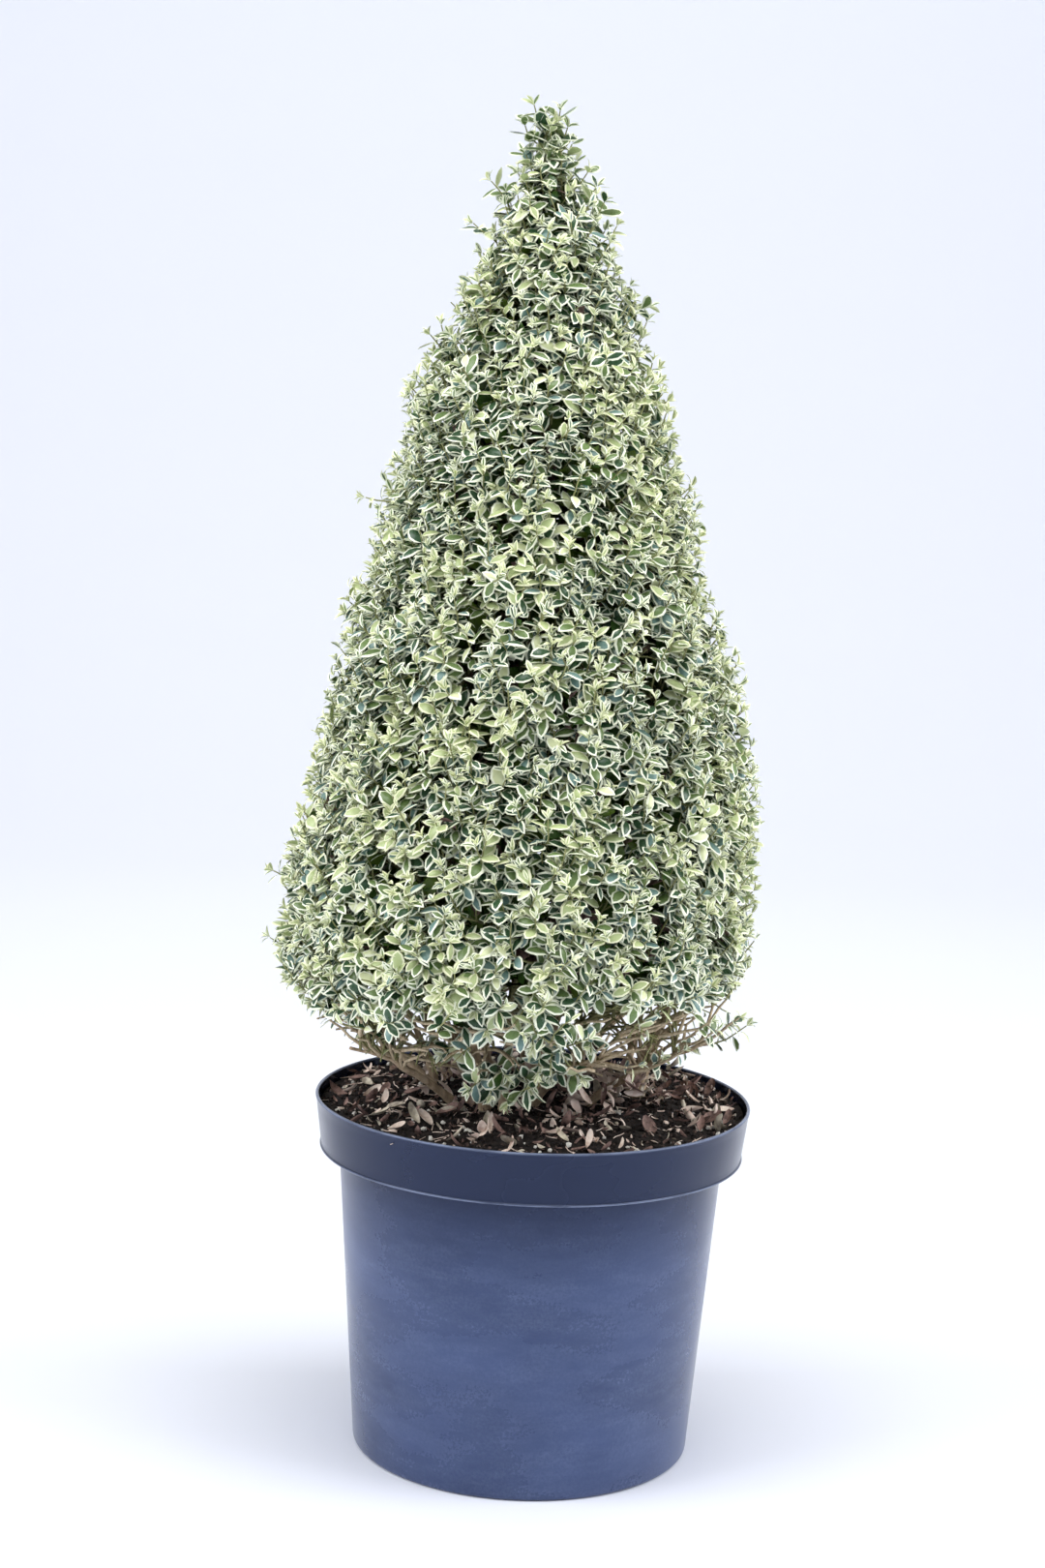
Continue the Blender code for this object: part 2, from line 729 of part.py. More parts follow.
def main():
    clear_scene()
    plastic = finish("black_polypropylene", (0.012, 0.014, 0.018), 0.30)
    peat = finish("potting_soil", (0.022, 0.016, 0.012), 0.95)
    bark = finish("boxwood_bark", (0.30, 0.22, 0.14), 0.80)
    leaves = finish("variegated_leaves", (0.33, 0.40, 0.22), 0.45)
    rng = random.Random(SEED)
    make_pot(plastic)
    make_soil(peat)
    stem_axes = make_stems(bark)
    bough_axes, roots = make_boughs(bark)
    make_crown(leaves, rng)
    for name, root, along, bearing, droop in roots:
        make_skirt(name, root, along, bearing, droop, stem_axes + bough_axes, leaves, rng)


main()
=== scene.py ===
"""Boxwood clipped to a cone, growing in its ten-litre nursery pot.

The frame gives the pot, the soil, the bare stems and low boughs, and the room that each mass of
foliage fills. Here the wood grows on from those stems and boughs, by golden-angle steps, from
leaders to laterals, twigs and shoots. Each shoot carries crossed pairs of small variegated leaves.
"""

import json
import math
import random
from collections import namedtuple

import bpy
import numpy as np
from mathutils import Matrix, Vector, noise

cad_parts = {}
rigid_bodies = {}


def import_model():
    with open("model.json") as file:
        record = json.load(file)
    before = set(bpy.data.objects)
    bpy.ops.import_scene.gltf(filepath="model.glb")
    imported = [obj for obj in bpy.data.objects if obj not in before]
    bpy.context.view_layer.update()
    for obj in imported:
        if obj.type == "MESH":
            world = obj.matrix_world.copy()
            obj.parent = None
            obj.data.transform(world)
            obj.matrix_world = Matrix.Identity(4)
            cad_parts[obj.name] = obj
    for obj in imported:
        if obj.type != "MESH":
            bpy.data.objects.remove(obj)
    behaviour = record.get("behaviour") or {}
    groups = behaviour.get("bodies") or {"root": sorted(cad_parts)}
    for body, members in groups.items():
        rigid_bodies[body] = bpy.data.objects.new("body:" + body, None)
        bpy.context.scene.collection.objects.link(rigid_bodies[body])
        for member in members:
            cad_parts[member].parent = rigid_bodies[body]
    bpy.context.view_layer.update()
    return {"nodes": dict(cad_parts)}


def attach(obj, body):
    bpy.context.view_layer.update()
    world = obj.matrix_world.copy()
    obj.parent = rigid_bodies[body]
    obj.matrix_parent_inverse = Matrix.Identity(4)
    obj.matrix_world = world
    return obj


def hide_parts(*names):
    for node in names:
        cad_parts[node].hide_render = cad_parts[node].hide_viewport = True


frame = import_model()

UP = Vector((0.0, 0.0, 1.0))
GOLDEN_ANGLE = math.pi * (3.0 - math.sqrt(5.0))
MM = 0.001

# ---------------- sizes shared with the frame

POT_HEIGHT = 0.2255
POT_WALL = 0.0021
POT_FLOOR = 0.003
BODY_RADIUS_LOW = 0.1075
BODY_RADIUS_HIGH = 0.1215
COLLAR_STEP = POT_HEIGHT - 0.0335
COLLAR_RADIUS_LOW = 0.1332
RIM_RADIUS = 0.1375

SOIL_TOP = 0.2262
SOIL_LEVEL_RADIUS = 0.085
SOIL_EDGE = 0.2205

CROWN_X, CROWN_Y = -0.012, 0.0
CROWN_RADIUS = 0.157
CROWN_WIDEST = 0.335
CROWN_TIP = 0.845
CROWN_SHOULDER = 1.6
BOWL_DEPTH = 0.095
BOWL_SQUARENESS = 2.5
CORE_FLOOR = 0.285

STEM_RINGS = 6
STEM_FLARE = 0.45
STEM_TAPER = 0.24
STEM_BOW = 1.25
STEM_UNEVEN = 0.20
STEM_THINNER = 0.16
CLUMP_SPACING = 0.0125
CLUMPS = (
    # name, bearing of the foot, its distance, stems, fan across, lean outwards, radius
    ("left", 137.0, 0.060, 3, 58.0, 0.036, 0.0033),
    ("right", 18.0, 0.079, 3, 52.0, 0.022, 0.0040),
    ("front", 252.0, 0.040, 2, 44.0, 0.024, 0.0034),
    ("back", 76.0, 0.052, 2, 50.0, 0.026, 0.0034),
    ("centre", 320.0, 0.016, 1, 0.0, 0.008, 0.0046),
)
BOUGH_RADIUS = 0.0026
BOUGH_RINGS = 6
BOUGH_TIP = 0.249
BOUGH_BOW = 1.15
SKIRTS = (
    # name, bearing and distance of the foot, distance of the tip, droop
    ("front", 300.0, 0.026, 0.050, 0.85),
    ("right_front", 344.0, 0.050, 0.079, 0.2),
    ("right_back", 49.0, 0.048, 0.079, 0.1),
    ("back", 108.0, 0.046, 0.079, 0.2),
    ("left_back", 170.0, 0.052, 0.079, 0.1),
    ("left_front", 218.0, 0.048, 0.079, 0.2),
)
SKIRT_FIRST = 285.0           # bearing that the first skirt spreads to
SKIRT_APART = 60.0
SKIRT_REACH = 0.054
SKIRT_STEPS = 6

# ---------------- small helpers


def linear(colour):
    """An sRGB hex colour as the linear red, green, blue and alpha that Blender's sockets take."""
    channels = [int(colour[i:i + 2], 16) / 255.0 for i in (1, 3, 5)]
    bent_back = [c / 12.92 if c <= 0.04045 else ((c + 0.055) / 1.055) ** 2.4 for c in channels]
    return (*bent_back, 1.0)


def add(tree, kind, inputs=(), **settings):
    """Adds a node with its settings and links, or sets a node that is there. Inputs come in the
    order of the open sockets, or by name. Each is a value, a hex colour, the socket that feeds it,
    or a node whose first open output does."""
    node = tree.nodes.new(kind) if isinstance(kind, str) else kind
    for name, value in settings.items():
        setattr(node, name, value)
    sockets = [socket for socket in node.inputs if socket.enabled]
    if isinstance(inputs, dict):
        by_name = {socket.name: socket for socket in sockets}
        sockets, inputs = [by_name[name] for name in inputs], inputs.values()
    for socket, value in zip(sockets, inputs):
        if isinstance(value, bpy.types.Node):
            value = next(output for output in value.outputs if output.enabled)
        if isinstance(value, bpy.types.NodeSocket):
            tree.links.new(value, socket)
        else:
            is_colour = isinstance(value, str) and value.startswith("#")
            socket.default_value = linear(value) if is_colour else value
    return node


def heading_of(bearing):
    return Vector((math.cos(bearing), math.sin(bearing), 0.0))


def polar(radius, bearing, height):
    return (radius * math.cos(bearing), radius * math.sin(bearing), height)


def crown_point(bearing, distance, height):
    return Vector((
        CROWN_X + distance * math.cos(bearing), CROWN_Y + distance * math.sin(bearing), height,
    ))


def within_one(value):
    """The value, kept from 0 to 1."""
    return max(0.0, min(1.0, value))


def wander(by, rng):
    """A small shift or lean to any side."""
    return Vector([rng.uniform(-by, by) for _ in range(3)])


def envelope(height):
    """The clipped outline: the cone's radius at a height, with its bowl-shaped underside."""
    height = np.asarray(height, float)
    over = np.clip((height - CROWN_WIDEST) / (CROWN_TIP - CROWN_WIDEST), 0.0, 1.0)
    under = np.clip((CROWN_WIDEST - height) / BOWL_DEPTH, 0.0, 1.0)
    cone = 1.0 - over ** CROWN_SHOULDER
    bowl = (1.0 - under ** BOWL_SQUARENESS) ** (1.0 / BOWL_SQUARENESS)
    return CROWN_RADIUS * np.where(height >= CROWN_WIDEST, cone, bowl)


def soil_height(distance):
    """Level under the stems, falling to the pot's wall."""
    fall = max(0.0, distance - SOIL_LEVEL_RADIUS) / (RIM_RADIUS - SOIL_LEVEL_RADIUS)
    return SOIL_TOP - (SOIL_TOP - SOIL_EDGE) * fall


def new_object(name, mesh, *materials):
    made = bpy.data.objects.new(name, mesh)
    bpy.context.scene.collection.objects.link(made)
    for material in materials:
        mesh.materials.append(material)
    return made


def mesh_of(name, points, faces, smooth=True):
    mesh = bpy.data.meshes.new(name)
    mesh.from_pydata([tuple(p) for p in points], [], faces)
    mesh.update()
    if smooth:
        mesh.shade_smooth()
    return mesh


def ring(radius, height, around):
    return [polar(radius, math.tau * k / around, height) for k in range(around)]


def turned_mesh(name, rings, start, end=None, over=False):
    """A skin over rings of points, from a middle point at the start to one at the end. It faces
    down at the start, or up where the shape turns over."""
    around = len(rings[0])
    points = [start] + [point for each in rings for point in each]
    last = len(points) - around
    faces = []
    for k in range(around):
        n = (k + 1) % around
        faces.append((0, 1 + n, 1 + k))
        for low in range(1, last, around):
            high = low + around
            faces.append((low + k, low + n, high + n, high + k))
        if end:
            faces.append((last + k, last + n, len(points)))
    if end:
        points.append(end)
    if over:
        faces = [(face[0],) + face[:0:-1] for face in faces]
    return mesh_of(name, points, faces)


def blanks_of(kind, meshes):
    """A collection of the shapes that a tree deals out, in the order of their numbers."""
    blanks = bpy.data.collections.new(kind)
    for number, mesh in enumerate(meshes):
        blanks.objects.link(bpy.data.objects.new(f"{kind}_{number}", mesh))
    return blanks


def clear_away(blanks):
    for blank in list(blanks.objects):
        bpy.data.objects.remove(blank)
    bpy.data.collections.remove(blanks)


def ready(piece, slot, *nodes):
    """Hands a finished piece to the frame."""
    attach(piece, "root")
    if nodes:
        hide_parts(*nodes)


# ---------------- materials

NOISE_SPAN = (0.35, 0.65)     # nearly all of a noise's values lie between these


def per_metre(millimetres):
    """Noise and Voronoi scale whose features are this many millimetres apart."""
    return 1000.0 / millimetres


def new_material(name, colour, roughness):
    """A material of a plain colour, with its tree, its shader and the Object coordinates."""
    material = bpy.data.materials.new(name)
    material.use_nodes = True
    tree = material.node_tree
    shader = add(tree, tree.nodes["Principled BSDF"], {
        "Base Color": colour, "Roughness": roughness})
    return material, tree, shader, add(tree, "ShaderNodeTexCoord").outputs["Object"]


def textured(tree, shader, relief, strength, depth, tone=None, dark=None, light=None):
    """Raises the surface by a relief so many millimetres deep, and colours it by a tone."""
    bump = add(tree, "ShaderNodeBump", {
        "Height": relief, "Strength": strength, "Distance": depth * MM})
    add(tree, shader, {"Normal": bump})
    if tone:
        add(tree, shader, {
            "Base Color": add(tree, "ShaderNodeMix", (tone, dark, light), data_type="RGBA")})


def moulded_polypropylene():
    """Black polypropylene, injection moulded. It is near-black and half glossy. The body has a
    cloudy bloom and pale dust, drawn coarser than it lies, so that it shows. Both fade out just
    under the collar, where a painted shadow darkens the body. The polished collar has less of both,
    and a painted highlight runs along its two edges."""
    material, tree, shader, place = new_material("black_polypropylene_moulded", "#1b2238", 0.32)
    height = add(tree, "ShaderNodeSeparateXYZ", (place,)).outputs["Z"]
    wide = add(tree, "ShaderNodeMapping", {"Vector": place, "Scale": (1.0, 1.0, 1.8)})
    flat = add(tree, "ShaderNodeMapping", {"Vector": place, "Scale": (1.0, 1.0, 3.5)})
    cloud, streak, fleck, wave = [add(tree, "ShaderNodeTexNoise", {
        "Vector": source, "Scale": per_metre(apart), "Detail": detail, "Roughness": roughness,
    }) for source, apart, detail, roughness in (
        (wide, 80, 2.0, 0.45), (flat, 34, 7.0, 0.62), (place, 1.8, 3.0, 0.7), (place, 45, 1.0, 0.5),
    )]
    over_edge = add(tree, "ShaderNodeMath", (height, COLLAR_STEP + 0.5 * MM), operation="SUBTRACT")
    off_edge = add(tree, "ShaderNodeMath", (over_edge,), operation="ABSOLUTE")
    on_body, below, cloudy, streaky, flecked, step_edge_highlight, lip_edge_highlight, uneven, gloss = [
        add(tree, "ShaderNodeMapRange", spans) for spans in (
            # what is read, the two ends of its span, and what these two are turned to
            (height, COLLAR_STEP + 1 * MM, COLLAR_STEP - 1 * MM, 0.26, 1.0),
            # painted shadow under the collar: 1 low on the body, falling to 0.12 just under the
            # step
            (height, COLLAR_STEP - 60 * MM, COLLAR_STEP - 2 * MM, 1.0, 0.12),
            (cloud, 0.25, 0.75, 0.42, 0.84),
            (streak, 0.30, 0.78, 0.0, 0.26),
            (fleck, 0.36, 0.64, 0.25, 1.0),
            # painted highlight along the bead at the collar's foot
            (off_edge, 0.2 * MM, 1.2 * MM, 0.5, 0.0),
            # painted highlight along the lip
            (height, POT_HEIGHT - 1.6 * MM, POT_HEIGHT - 0.4 * MM, 0.0, 0.55),
            (streak, 0.40, 0.58, 0.45, 1.0),
            (cloud, *NOISE_SPAN, 0.20, 0.31),
        )]
    # Painted shadow: just under the collar the bloom and the dust fade out, so the body there shows
    # darker, as if the collar shaded it.
    shown = add(tree, "ShaderNodeMath", (on_body, below), operation="MULTIPLY")
    bloom = add(tree, "ShaderNodeMath", (cloudy, shown), operation="MULTIPLY")
    dust = add(tree, "ShaderNodeMath", (streaky, shown), operation="MULTIPLY")
    dust = add(tree, "ShaderNodeMath", (dust, flecked), operation="MULTIPLY")
    # Painted highlight: a pale line along the bead at the collar's foot and along the lip, where
    # these edges would catch the light.
    edges = add(tree, "ShaderNodeMath", (step_edge_highlight, lip_edge_highlight), operation="MAXIMUM")
    painted_edge_highlight = add(tree, "ShaderNodeMath", (edges, uneven), operation="MULTIPLY")
    colour = "#0b142d"
    # the last layer is the painted highlight on the collar's two edges
    for layer, tint in ((bloom, "#455379"), (dust, "#8492b2"), (painted_edge_highlight, "#9aa6c2")):
        colour = add(tree, "ShaderNodeMix", (layer, colour, tint), data_type="RGBA")
    dulled = add(tree, "ShaderNodeMath", (dust, 0.3), operation="MULTIPLY")
    rough = add(tree, "ShaderNodeMath", (gloss, dulled), operation="ADD")
    dents = add(tree, "ShaderNodeBump", {"Height": wave, "Strength": 0.5, "Distance": 1.2 * MM})
    bump = add(tree, "ShaderNodeBump", {
        "Height": fleck, "Strength": 0.08, "Distance": 0.12 * MM, "Normal": dents})
    add(tree, shader, {
        "Base Color": colour, "Roughness": rough, "Normal": bump, "IOR": 1.49,
        "Specular Tint": "#bccfff", "Coat Weight": 0.15, "Coat Roughness": 0.12})
    return material


def leaf_finish(name, colour, roughness=0.30, coat=0.25):
    """Living leaf: leathery, with a waxed cuticle that takes broad soft highlights. Its net of
    veins is drawn coarser than it grows, so that it shows. Each tint is plain, since the tints are
    dealt out by spray and by age."""
    material, tree, shader, place = new_material(name, colour, roughness)
    veins = add(tree, "ShaderNodeTexNoise", {"Vector": place, "Scale": per_metre(1.4)})
    textured(tree, shader, veins, 0.22, 0.15)
    add(tree, shader, {
        "Roughness": add(tree, "ShaderNodeMapRange", (
            veins, *NOISE_SPAN, roughness - 0.05, roughness + 0.07)),
        "IOR": 1.44, "Specular Tint": "#e2e8ea", "Coat Weight": coat, "Coat Roughness": 0.25})
    return material


def bark_finish(name, light, dark, crack=3.2, depth=0.35):
    """Thin bark: dull and dry, split lengthwise into narrow plates, weathered from tan to grey."""
    material, tree, shader, place = new_material(name, light, 0.82)
    tall = add(tree, "ShaderNodeMapping", {"Vector": place, "Scale": (1.0, 1.0, 0.22)})
    plates = add(tree, "ShaderNodeTexNoise", {
        "Vector": tall, "Scale": per_metre(crack), "Detail": 5.0, "Roughness": 0.65,
        "Distortion": 0.4})
    patches = add(tree, "ShaderNodeTexNoise", {
        "Vector": place, "Scale": per_metre(14), "Detail": 3.0})
    fine = add(tree, "ShaderNodeMapRange", (plates, *NOISE_SPAN, 0.0, 0.7))
    broad = add(tree, "ShaderNodeMapRange", (patches, *NOISE_SPAN, 0.0, 0.3))
    tone = add(tree, "ShaderNodeMath", (fine, broad), operation="ADD", use_clamp=True)
    textured(tree, shader, plates, 0.8, depth, tone, dark, light)
    return material


def peat_finish(name, light, dark):
    """Moist potting peat: near-black, matt and crumbly, with fibres a shade lighter."""
    material, tree, shader, place = new_material(name, dark, 0.93)
    crumbs = add(tree, "ShaderNodeTexNoise", {
        "Vector": place, "Scale": per_metre(2.4), "Detail": 6.0, "Roughness": 0.7})
    tone = add(tree, "ShaderNodeMapRange", (crumbs, 0.42, 0.72, 0.0, 1.0))
    textured(tree, shader, crumbs, 1.0, 0.7, tone, dark, light)
    add(tree, shader, {"Specular IOR Level": 0.3})
    return material


def perlite_finish():
    """Perlite: volcanic glass blown to a white foam, dull and pitted like stale popcorn. Its pits
    are drawn coarser than they are, so that they show."""
    material, tree, shader, place = new_material("perlite_expanded", "#dcd9d2", 0.9)
    pits = add(tree, "ShaderNodeTexVoronoi", {"Vector": place, "Scale": per_metre(0.7)})
    textured(tree, shader, pits, 0.6, 0.2)
    return material


def dry_leaf_finish(name, light, dark):
    """Fallen boxwood leaf: dry and papery, bleached tan in patches over brown."""
    material, tree, shader, place = new_material(name, light, 0.72)
    patches = add(tree, "ShaderNodeTexNoise", {
        "Vector": place, "Scale": per_metre(5.0), "Detail": 4.0, "Roughness": 0.6})
    tone = add(tree, "ShaderNodeMapRange", (patches, *NOISE_SPAN, 0.0, 1.0))
    textured(tree, shader, patches, 0.5, 0.3, tone, dark, light)
    return material


def paper_finish():
    """Backdrop paper: pale and matt, with a faint tooth."""
    material, tree, shader, place = new_material("paper_backdrop_matt", "#e9edf8", 0.9)
    tooth = add(tree, "ShaderNodeTexNoise", {"Vector": place, "Scale": per_metre(30)})
    textured(tree, shader, tooth, 0.03, 0.2)
    return material


POLYPROPYLENE = moulded_polypropylene()
PEAT = peat_finish("potting_peat_moist", "#3b322e", "#120e0e")
PEAT_CRUMB = peat_finish("potting_peat_crumbs", "#75625a", "#2a211f")
PERLITE = perlite_finish()
BARK = bark_finish("boxwood_bark_weathered", "#d6c1a2", "#8a7259")
TWIG_BARK = bark_finish("boxwood_twig_bark_dry", "#decdac", "#9a866b", crack=1.8, depth=0.15)
YOUNG_BARK = bark_finish("boxwood_twig_bark_young", "#8f8c5e", "#5c5b39", crack=1.8, depth=0.12)
SHOOT_BARK = bark_finish("boxwood_shoot_green", "#a3a672", "#7b7a4c", crack=1.2, depth=0.08)
DRY_TAN = dry_leaf_finish("boxwood_leaf_dry_tan", "#f8e9dc", "#d2b8ab")
DRY_BROWN = dry_leaf_finish("boxwood_leaf_dry_brown", "#9e8077", "#4a3733")
DRY_GREY = dry_leaf_finish("boxwood_leaf_dry_grey", "#dcd4c0", "#93877a")
CREAM = leaf_finish("boxwood_leaf_margin_cream", "#f6fae3")
BUTTER = leaf_finish("boxwood_leaf_margin_yellow", "#f2f4d0")

# The blade and the margin of each tint of leaf, in the order of the tints' numbers.
OLD, GREY, FRESH, CREAMY, PLAIN, AMBER, DEAD, BLUE_SHEEN, SHADY = range(9)
BLADE_FINISHES = (
    leaf_finish("boxwood_leaf_blade_old", "#345236"),
    leaf_finish("boxwood_leaf_blade_greygreen", "#6a814d"),
    leaf_finish("boxwood_leaf_blade_fresh", "#b7c58d"),
    leaf_finish("boxwood_leaf_blade_cream", "#dfe6b6"),
    leaf_finish("boxwood_leaf_blade_green", "#46692c"),
    leaf_finish("boxwood_leaf_blade_amber", "#bd9a58", roughness=0.5, coat=0.0),
    DRY_BROWN,
    # blue-grey blade: a painted sky sheen, the reflection of the bright room on glossy blades put
    # into the base colour
    leaf_finish("boxwood_leaf_blade_painted_sheen", "#6c8a84"),
    leaf_finish("boxwood_leaf_blade_shaded", "#50661f"),
)
MARGIN_FINISHES = (CREAM, CREAM, BUTTER, CREAM, BUTTER, DRY_TAN, DRY_BROWN, CREAM, BUTTER)

# ---------------- pot

POT_SEGMENTS = 144
LIP_RADIUS = 0.0011
LIP_DEPTH = 0.0040
STEP_ROUNDING = 0.0012
BEAD = 0.0009                 # a rounded bead stiffens the collar's lower edge
BASE_ROUNDING = 0.003
FOOT_RECESS = 0.0016          # the underside is dished inside a narrow foot ring
FOOT_RING = 0.007
SEAM_BEARINGS = (-52.0, 128.0)     # where the halves of the mould met
SEAM_HEIGHT = 0.00022
SEAM_WIDTH = 0.0012
SEAM_MARGIN = 0.004           # the seams stop this far from the foot and the lip
OVAL = 0.0007                 # soft walls go slightly out of round
OVAL_TURN = 0.7
SHARP_EDGE = math.radians(50)


def arc(centre_r, centre_z, radius, start, end, steps=5):
    """Points of a rounded corner of a profile, with the angles in degrees."""
    angles = [math.radians(start + (end - start) * i / steps) for i in range(steps + 1)]
    return [(centre_r + radius * math.cos(a), centre_z + radius * math.sin(a)) for a in angles]


def straight(start, end, steps):
    return [(
        start[0] + (end[0] - start[0]) * i / steps, start[1] + (end[1] - start[1]) * i / steps,
    ) for i in range(1, steps)]


def pot_profile():
    """Radius and height from the middle of the underside, up the outside, over the lip, down the
    inside and back to the middle of the floor."""
    recess = BODY_RADIUS_LOW - FOOT_RING
    line = [(recess - 0.004, FOOT_RECESS), (recess - 0.001, FOOT_RECESS * 0.8), (recess, 0.0002)]
    line += [(recess + 0.0004, 0.0)]
    line += arc(BODY_RADIUS_LOW - BASE_ROUNDING, BASE_ROUNDING, BASE_ROUNDING, -90, -4)
    top = (BODY_RADIUS_HIGH, COLLAR_STEP - STEP_ROUNDING)
    line += straight(line[-1], top, 24) + [top]
    line += arc(BODY_RADIUS_HIGH + STEP_ROUNDING, COLLAR_STEP - STEP_ROUNDING, STEP_ROUNDING,
                180, 90, 3)
    line += [(COLLAR_RADIUS_LOW - 2.0 * STEP_ROUNDING, COLLAR_STEP)]
    line += arc(COLLAR_RADIUS_LOW - 0.0001, COLLAR_STEP + BEAD, BEAD, -90, 75, 6)
    collar_foot = (COLLAR_RADIUS_LOW + 0.0001, COLLAR_STEP + 2.6 * BEAD)
    collar_top = (RIM_RADIUS - 0.0008, POT_HEIGHT - LIP_DEPTH)
    line += [collar_foot] + straight(collar_foot, collar_top, 8) + [collar_top]
    line += arc(RIM_RADIUS - LIP_RADIUS, POT_HEIGHT - LIP_RADIUS, LIP_RADIUS, -20, 200, 8)
    line += [(RIM_RADIUS - POT_WALL - 0.0004, POT_HEIGHT - LIP_DEPTH)]
    inner_collar = (COLLAR_RADIUS_LOW - POT_WALL, COLLAR_STEP + POT_WALL + 0.001)
    line += straight(line[-1], inner_collar, 4) + [inner_collar]
    inner_body = (BODY_RADIUS_HIGH - POT_WALL, COLLAR_STEP + POT_WALL - 0.001)
    line += [(inner_body[0] + 0.001, COLLAR_STEP + POT_WALL), inner_body]
    inner_foot = (BODY_RADIUS_LOW - POT_WALL, POT_FLOOR)
    return line + straight(inner_body, inner_foot, 4) + [inner_foot]


def pot_point(radius, bearing, height):
    """A point of the wall, slightly out of round, and raised where it lies on a seam."""
    stretch = radius / RIM_RADIUS * height / POT_HEIGHT
    out = radius + OVAL * stretch * math.cos(2.0 * bearing + OVAL_TURN)
    between = SEAM_MARGIN < height < POT_HEIGHT - SEAM_MARGIN
    if between and radius > BODY_RADIUS_LOW - 0.001:
        for seam in SEAM_BEARINGS:
            off = (bearing - math.radians(seam) + math.pi) % math.tau - math.pi
            out += SEAM_HEIGHT * math.exp(-(off * radius / SEAM_WIDTH) ** 2)
    return polar(out, bearing, height)


def make_pot():
    """The pot as one closed wall, turned round its axis."""
    rings = [[pot_point(radius, math.tau * k / POT_SEGMENTS, height) for k in range(POT_SEGMENTS)]
             for radius, height in pot_profile()]
    mesh = turned_mesh("pot_moulded", rings, (0.0, 0.0, FOOT_RECESS), (0.0, 0.0, POT_FLOOR))
    mesh.set_sharp_from_angle(angle=SHARP_EDGE)
    ready(new_object("pot_moulded", mesh, POLYPROPYLENE), "pot_plastic", "pot")


# ---------------- wood

PLAIN_NODE = 0.009            # distance between points along grown wood
UPRIGHT_STEP = 0.006
LEAVING, ARRIVING = 0.36, 0.34     # shares of its span over which a limb's curve keeps its ways


class Wood:
    """All the wood grown so far, as points with headings that later limbs may fork from."""

    def __init__(self):
        self.points = []
        self.headings = []

    def take(self, path):
        for before, point in zip(path, path[1:]):
            self.points.append(point)
            self.headings.append((point - before).normalized())


def limb_path(foot, tip, rings, bow):
    """The frame's rule: the limb starts steep and leans over as it rises."""
    across = Vector((tip.x - foot.x, tip.y - foot.y, 0.0))
    shares = [i / (rings - 1) for i in range(rings)]
    return [foot + across * share ** bow + UP * (tip.z - foot.z) * share for share in shares]


def stem_lines():
    """Every stem's name, axis and radius, as the frame has them."""
    lines = []
    for name, bearing, distance, count, fan, lean, radius in CLUMPS:
        for i in range(count):
            across = i - (count - 1) / 2.0
            towards = math.radians(bearing)
            foot = crown_point(towards, distance, SOIL_TOP)
            foot += heading_of(towards + math.pi / 2.0) * across * CLUMP_SPACING
            leaning = towards + math.radians(fan) * across / max(count - 1, 1)
            uneven = STEM_UNEVEN if i % 2 else -STEM_UNEVEN
            tip = foot + heading_of(leaning) * lean * (1.0 + uneven)
            tip.z = CORE_FLOOR
            path = limb_path(foot, tip, STEM_RINGS, STEM_BOW)
            lines.append((f"stem_{name}_{i + 1}", path, radius * (1.0 - STEM_THINNER * i)))
    return lines


def curve_between(start, out_of, end, into, step=PLAIN_NODE):
    """Points along a smooth curve that leaves one way and arrives another."""
    span = (end - start).length
    first = start + out_of * span * LEAVING
    second = end - into * span * ARRIVING
    count = max(3, round(span / step))
    points = []
    for i in range(count + 1):
        t = i / count
        points.append(start * (1 - t) ** 3 + first * 3 * t * (1 - t) ** 2
                      + second * 3 * t * t * (1 - t) + end * t ** 3)
    return points


def crooked(path, by, rng):
    """Real wood turns a little at each node."""
    return [path[0]] + [point + wander(by, rng) for point in path[1:-1]] + [path[-1]]


LEADER_TOPS = (
    # bearing at the top, share of the envelope's radius there, height: one for each stem in turn
    (150.0, 0.52, 0.545), (185.0, 0.58, 0.470), (120.0, 0.42, 0.640),
    (5.0, 0.42, 0.620), (40.0, 0.56, 0.500), (335.0, 0.58, 0.450),
    (255.0, 0.50, 0.570), (290.0, 0.45, 0.690),
    (75.0, 0.52, 0.560), (100.0, 0.40, 0.710),
    (200.0, 0.10, 0.800),
)
LEADER_CROOK = 0.0016
LEADER_STEEPER = 0.4          # a leader rises from its stem, and still leans a little at its top
LEADER_LEAN = 0.25
BOUGH_CROOK = 0.0008
BOUGH_TURN = 0.6


def grow_leaders(wood, rng):
    """Each stem goes on up inside the cone. Returns the name, the frame's axis, the axis grown on
    from it and the radius of each."""
    limbs = []
    for (name, path, radius), (bearing, share, height) in zip(stem_lines(), LEADER_TOPS):
        towards = math.radians(bearing)
        heading = (path[-1] - path[-2]).normalized()
        top = crown_point(towards, share * float(envelope(height)), height)
        onward = curve_between(
            path[-1], (heading + UP * LEADER_STEEPER).normalized(), top,
            (UP + heading_of(towards) * LEADER_LEAN).normalized())
        onward = crooked(onward, LEADER_CROOK, rng)
        wood.take(path)
        wood.take(onward)
        limbs.append((name, path, onward, radius))
    return limbs


